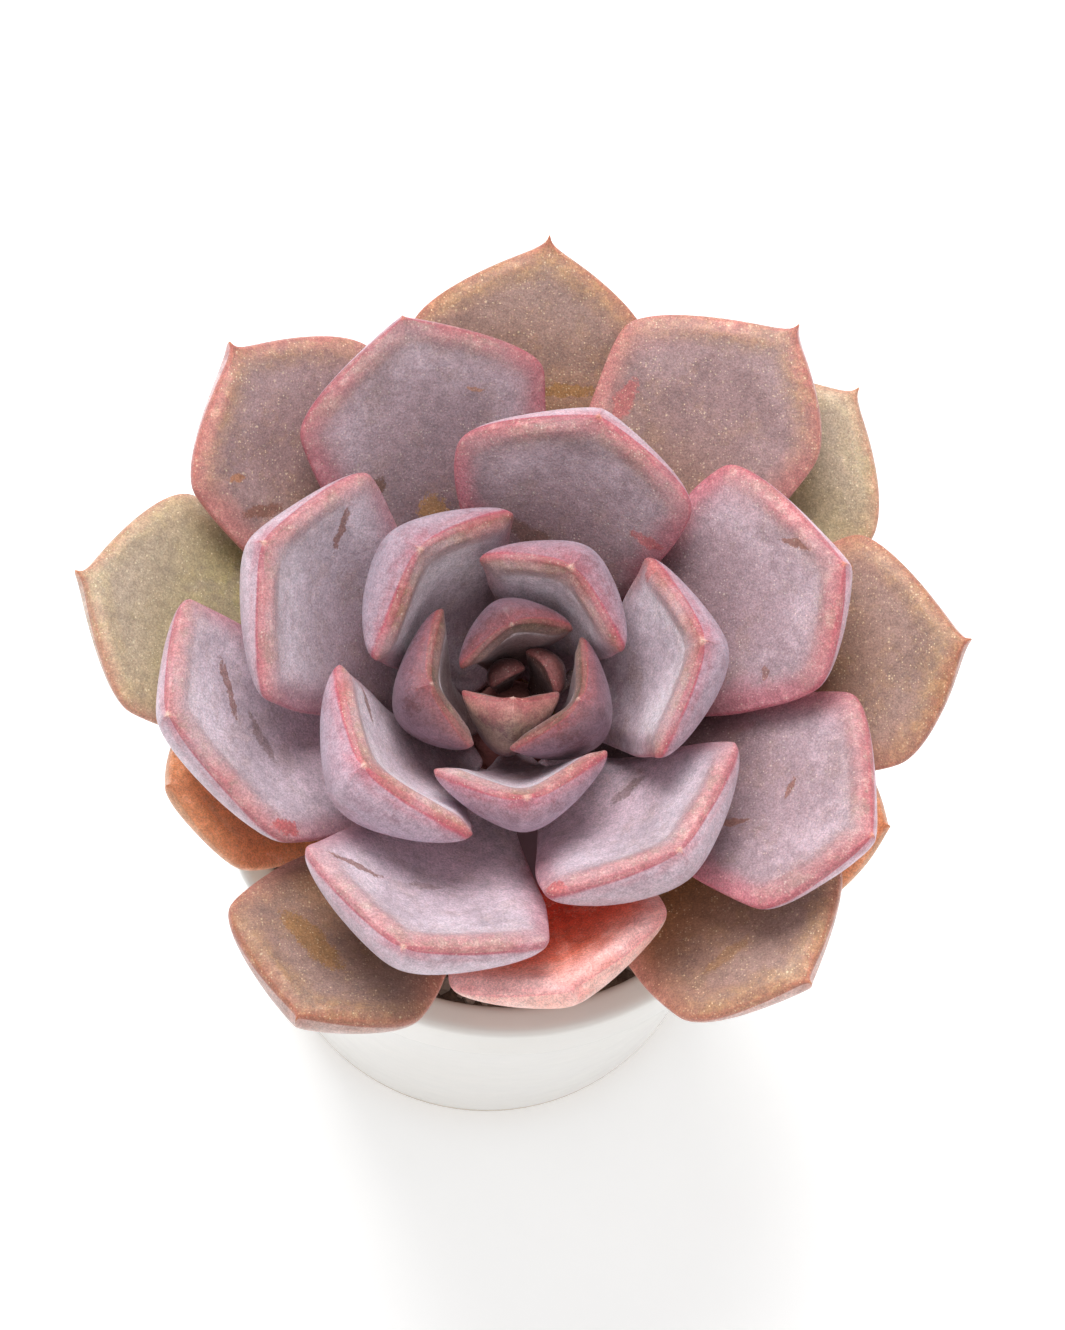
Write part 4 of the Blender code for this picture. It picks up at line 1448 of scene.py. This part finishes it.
@dataclass
class Pot:
    """A turned, slightly tapered pot with a rolled rim, a bare foot and drain holes."""

    height: float = 0.063
    rim_radius: float = 0.0335
    rim_height: float = 0.009
    rim_step: float = 0.0012
    foot_radius: float = 0.0265
    wall: float = 0.0028
    floor: float = 0.0040
    drain_holes: int = 4
    drain_radius: float = 0.0028
    drain_circle: float = 0.0150
    bare_foot: float = 0.0026  # height up to which the clay is bare
    bare_inside: float = 0.012  # depth below the rim from which the inside is bare
    turn_steps: int = 96

    def outside(self, z: float) -> float:
        """Outer radius of the wall below the rim at a height."""
        top = self.rim_radius - self.rim_step
        return self.foot_radius + (top - self.foot_radius) * z / self.height

    def inside(self, z: float) -> float:
        """Inner radius of the wall at a height."""
        return self.outside(z) - self.wall

    def profile(self) -> list[tuple[float, float]]:
        """Draws half a section of the pot.

        Returns:
            The points, from the foot's middle round to the floor's middle.
        """
        under = self.height - self.rim_height
        body = [(self.outside(z), z, 0.0) for z in (0.0022, 0.0030, 0.012, 0.026, 0.040)]
        inner = [(self.inside(z), z, 0.0) for z in (0.052, 0.034, 0.018)]
        return rounded([
            (0.0, 0.0006, 0),
            (self.foot_radius - 0.0042, 0.0006, 0.0004),
            (self.foot_radius - 0.0036, 0.0, 0.0004),
            (self.outside(0.0) - 0.0002, 0.0, 0.0009),
            *body,
            (self.outside(under) - 0.0001, under, 0.0005),
            (self.rim_radius, under + 0.0002, 0.0010),
            (self.rim_radius, self.height, 0.0013),
            (self.inside(self.height) + 0.0004, self.height, 0.0011),
            *inner,
            (self.inside(self.floor), self.floor, 0.0030),
            (0.0, self.floor, 0),
        ])

    def drain(self, piece: bpy.types.Object) -> None:
        """Cuts the drain holes through the floor.

        Args:
            piece: the turned pot.
        """
        for k in range(self.drain_holes):
            turn = math.tau * (k + 0.5) / self.drain_holes
            clear_selection()
            bpy.ops.mesh.primitive_cylinder_add(
                vertices=24, radius=self.drain_radius, depth=3 * self.floor,
                location=(
                    self.drain_circle * math.cos(turn), self.drain_circle * math.sin(turn), 0.0
                ),
            )
            punch = bpy.context.object
            apply_modifier(piece, "BOOLEAN", operation="DIFFERENCE", object=punch, solver="EXACT")
            bpy.data.objects.remove(punch)

    def build(self) -> None:
        """Turns, drains, dresses and enlists the pot."""
        piece = turned("planter", self.profile(), self.turn_steps)
        self.drain(piece)
        bare = piece.data.attributes.new("bare", "FLOAT", "POINT")
        for vertex, cell in zip(piece.data.vertices, bare.data):
            r = math.hypot(vertex.co.x, vertex.co.y)
            low = vertex.co.z < self.bare_foot
            deep = vertex.co.z < self.height - self.bare_inside
            within = r < self.inside(vertex.co.z) + 0.0006 and deep
            cell.value = 1.0 if low or within else 0.0
        make_active(piece)
        bpy.ops.object.shade_smooth_by_angle(angle=math.radians(38))
        dress(piece, Glaze().material())
        enlist(piece, "glaze", "pot")


@dataclass
class Soil:
    """The earth in the pot: a crumbly top round the trunk, and loose grit on it."""

    edge: float = 0.0540
    crown: float = 0.0570
    bottom: float = 0.0046
    stem_foot: float = 0.0300
    clearance: float = 0.0003
    grit_count: int = 1500
    grit_size: tuple[float, float] = (0.00050, 0.00125)  # radius of the stones
    grit_hole: float = 0.0062  # distance that they keep from the axis
    grit_seed: int = 11
    top_rings: int = 44
    turn_steps: int = 160

    def top(self, r: float, outer: float) -> float:
        """Works out the even surface under the crumbs.

        Args:
            r: distance from the axis.
            outer: the soil's radius at the top.

        Returns:
            The surface's height there.
        """
        half = 0.4 * self.crown + 0.6 * self.edge
        if r < outer / 2:
            return self.crown + (half - self.crown) * (r - 0.005) / (outer / 2 - 0.005)
        return half + (self.edge - half) * (r - outer / 2) / (outer / 2)

    def profile(self, pot: Pot, trunk_radius: float) -> list[tuple[float, float]]:
        """Draws half a section of the soil.

        Args:
            pot: the pot that holds it.
            trunk_radius: the trunk's radius.

        Returns:
            The points, from the root's socket out over the top and down to the floor.
        """
        outer = pot.inside(self.edge) - self.clearance
        hole = trunk_radius + self.clearance
        top = []
        for k in range(self.top_rings + 1):
            r = hole + (outer - hole) * k / self.top_rings
            top.append((r, self.top(r, outer)))
        return [
            (0.0, self.stem_foot - self.clearance),
            (0.35 * trunk_radius + self.clearance, self.stem_foot - self.clearance),
            (hole, self.stem_foot + 0.012),
            *top,
            (pot.inside(0.030) - self.clearance, 0.030),
            (pot.inside(self.bottom + 0.003) - self.clearance, self.bottom + 0.003),
            (pot.inside(self.bottom) - self.clearance - 0.003, self.bottom),
            (0.0, self.bottom),
        ]

    def crumble(self, piece: bpy.types.Object) -> None:
        """Breaks up the top surface into crumbs.

        Args:
            piece: the turned soil.
        """
        for vertex in piece.data.vertices:
            x, y, z = vertex.co
            if z > self.edge - 0.0005:
                at = Vector((x, y, 0.0))
                rough = noise.fractal(at * 420, 0.8, 2.1, 4) * 0.00050
                lumps = abs(noise.noise(at * 190)) * 0.0008
                vertex.co.z = min(z + rough + lumps - 0.0003, self.crown + 0.0003)

    def grit(self, pot: Pot) -> bpy.types.Object:
        """Scatters crushed stone on the top.

        Args:
            pot: the pot that holds it.

        Returns:
            All the stones, as one piece.
        """
        clear_selection()
        bpy.ops.mesh.primitive_ico_sphere_add(subdivisions=1, radius=1.0)
        stone = bpy.context.object
        shape = [vertex.co.copy() for vertex in stone.data.vertices]
        faces = [tuple(polygon.vertices) for polygon in stone.data.polygons]
        rng = np.random.default_rng(self.grit_seed)
        outer = pot.inside(self.edge) - 0.0016
        points, skins = [], []
        for _ in range(self.grit_count):
            turn = rng.uniform(0, math.tau)
            r = math.sqrt(rng.uniform(self.grit_hole**2, outer**2))
            size = rng.uniform(*self.grit_size)
            lie = rng.uniform(-0.2, 0.7) * size
            at = Vector((r * math.cos(turn), r * math.sin(turn), self.top(r, outer) + lie))
            roll = rng.uniform(0, math.tau)
            tilt = Matrix.Rotation(roll, 3, Vector(rng.normal(size=3)).normalized())
            squash = Vector((1.0, rng.uniform(0.6, 1.0), rng.uniform(0.5, 0.9)))
            first = len(points)
            for corner in shape:
                bent = corner * rng.uniform(0.80, 1.15)
                points.append(at + tilt @ (bent * squash) * size)
            skins += [tuple(first + i for i in face) for face in faces]
        stone.data.clear_geometry()
        stone.data.from_pydata([tuple(p) for p in points], [], skins)
        stone.name = stone.data.name = "grit"
        return stone

    def build(self, pot: Pot, trunk_radius: float) -> None:
        """Fills the pot with earth, scatters the grit, and enlists both.

        Args:
            pot: the pot that holds them.
            trunk_radius: the trunk's radius.
        """
        piece = turned("potting_mix", self.profile(pot, trunk_radius), self.turn_steps)
        self.crumble(piece)
        piece.data.shade_smooth()
        dress(piece, Earth().material("potting_mix", 0.0))
        enlist(piece, "earth", "soil")
        grit = self.grit(pot)
        dress(grit, Earth().material("grit", 0.85))
        enlist(grit, "earth")


@dataclass
class Trunk:
    """The short trunk, ringed by leaf scars, with its root stub and its growing point."""

    radius: float = 0.0050
    foot: float = 0.0300
    scar_top: float = 0.0610  # height up to which the trunk is scarred
    scar_depth: float = 0.07  # share of the radius
    fresh_from: float = 0.064  # height at which the fresh part begins
    fresh_over: float = 0.006
    turn_steps: int = 48
    plan: LeafPlan = field(default_factory=LeafPlan)

    def profile(self) -> list[tuple[float, float]]:
        """Draws half a section of the trunk.

        Returns:
            The points, from the growing point down to the root's end.
        """
        plan = self.plan
        dome = []
        for n in range(0, plan.dome_leaves, 2):
            r, z = plan.attachment(n)
            dome.append((r - plan.gap, z + 0.0001))
        waist = [(self.radius, z * MM) for z in range(68, 42, -1)]
        return [
            (0.0, plan.attachment(0)[1] + 0.0003),
            *dome,
            *waist,
            (0.35 * self.radius, self.foot),
            (0.0, self.foot),
        ]

    def build(self) -> None:
        """Turns, scars, dresses and enlists the trunk."""
        piece = turned("trunk", self.profile(), self.turn_steps)
        for vertex in piece.data.vertices:
            x, y, z = vertex.co
            if z < self.scar_top:
                ripple = math.sin(z * 3600 + 2 * math.atan2(y, x)) * 0.5 + 0.5
                rough = noise.noise(vertex.co * 500) * 0.5 + 0.5
                vertex.co.x *= 1 - self.scar_depth * ripple * rough
                vertex.co.y *= 1 - self.scar_depth * ripple * rough
        fresh = piece.data.attributes.new("fresh", "FLOAT", "POINT")
        for vertex, cell in zip(piece.data.vertices, fresh.data):
            cell.value = ease((vertex.co.z - self.fresh_from) / self.fresh_over)
        piece.data.shade_smooth()
        dress(piece, Bark().material())
        enlist(piece, "bark", "stem")


# ------------------------------------------------------------------ studio


@dataclass
class Studio:
    """A plain white light table, soft light all round and the camera."""

    elevation: float = 71.0  # degrees above the table
    swing: float = 8.0  # degrees round from the front
    distance: float = 0.600
    lens: float = 147.6  # millimetres, on a sensor of 36
    target: Place = (0.0017, 0.0016, 0.090)
    lamps_aim: Place = (0.0, 0.0, 0.07)

    def camera(self) -> None:
        """Places the camera above and in front of the plant."""
        data = bpy.data.cameras.new("camera")
        data.lens = self.lens
        data.sensor_width = 36.0
        data.sensor_fit = "AUTO"
        data.clip_start, data.clip_end = 0.01, 20.0
        camera = bpy.data.objects.new("camera", data)
        bpy.context.scene.collection.objects.link(camera)
        e, a = math.radians(self.elevation), math.radians(self.swing)
        back = Vector((-math.sin(a) * math.cos(e), -math.cos(a) * math.cos(e), math.sin(e)))
        right = Vector((0, 1, 0)).cross(back).normalized()
        pose = Matrix((right, back.cross(right), back)).transposed().to_4x4()
        pose.translation = Vector(self.target) + back * self.distance
        camera.matrix_world = pose
        bpy.context.scene.camera = camera

    def table(self) -> None:
        """Lays the pale table top that the pot stands on."""
        clear_selection()
        bpy.ops.mesh.primitive_plane_add(size=6.0, location=(0, 0, -0.0002))
        floor = bpy.context.object
        floor.name = "table_top"
        made = bpy.data.materials.new("table_top")
        made.use_nodes = True
        write = Tree(made.node_tree)
        shader = made.node_tree.nodes["Principled BSDF"]
        grain = write.clouds(write.place(), 60.0, 3.0)
        colour = write.blend(grain, (0.93, 0.93, 0.93), (0.96, 0.96, 0.96))
        write.tree.links.new(colour, shader.inputs["Base Color"])
        shader.inputs["Roughness"].default_value = 0.9
        shader.inputs["Emission Color"].default_value = (1.0, 1.0, 1.0, 1.0)
        shader.inputs["Emission Strength"].default_value = 0.25
        dress(floor, made)

    def lamp(self, name: str, watts: float, size: float, place: Place) -> None:
        """Hangs a square soft box that faces the plant.

        Args:
            name: its name.
            watts: its power.
            size: the length of its side.
            place: where it hangs.
        """
        data = bpy.data.lights.new(name, "AREA")
        data.energy, data.size = watts, size
        lamp = bpy.data.objects.new(name, data)
        bpy.context.scene.collection.objects.link(lamp)
        lamp.location = place
        towards = Vector(self.lamps_aim) - Vector(place)
        lamp.rotation_euler = towards.to_track_quat("-Z", "Y").to_euler()

    def build(self) -> None:
        """Sets up the camera, the table, the lamps and the white surroundings."""
        self.camera()
        self.table()
        scene = bpy.context.scene
        world = bpy.data.worlds.new("white_room")
        scene.world = world
        world.use_nodes = True
        sky = world.node_tree.nodes["Background"]
        sky.inputs["Color"].default_value = (1.0, 1.0, 1.0, 1.0)
        sky.inputs["Strength"].default_value = 0.60
        self.lamp("key_box", watts=7.5, size=0.5, place=(-0.10, 0.40, 0.80))
        self.lamp("fill_box", watts=1.0, size=0.6, place=(0.10, -0.75, 0.55))
        scene.view_settings.view_transform = "Standard"
        scene.view_settings.look = "None"


def main() -> None:
    """Builds every piece round the frame."""
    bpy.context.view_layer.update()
    studio, pot, soil, trunk, rosette = Studio(), Pot(), Soil(), Trunk(), Rosette()
    studio.build()
    pot.build()
    soil.build(pot, trunk.radius)
    trunk.build()
    rosette.build()
    clear_selection()


if __name__ == "__main__":
    logging.basicConfig(level=logging.INFO, format="%(name)s %(message)s")
    main()
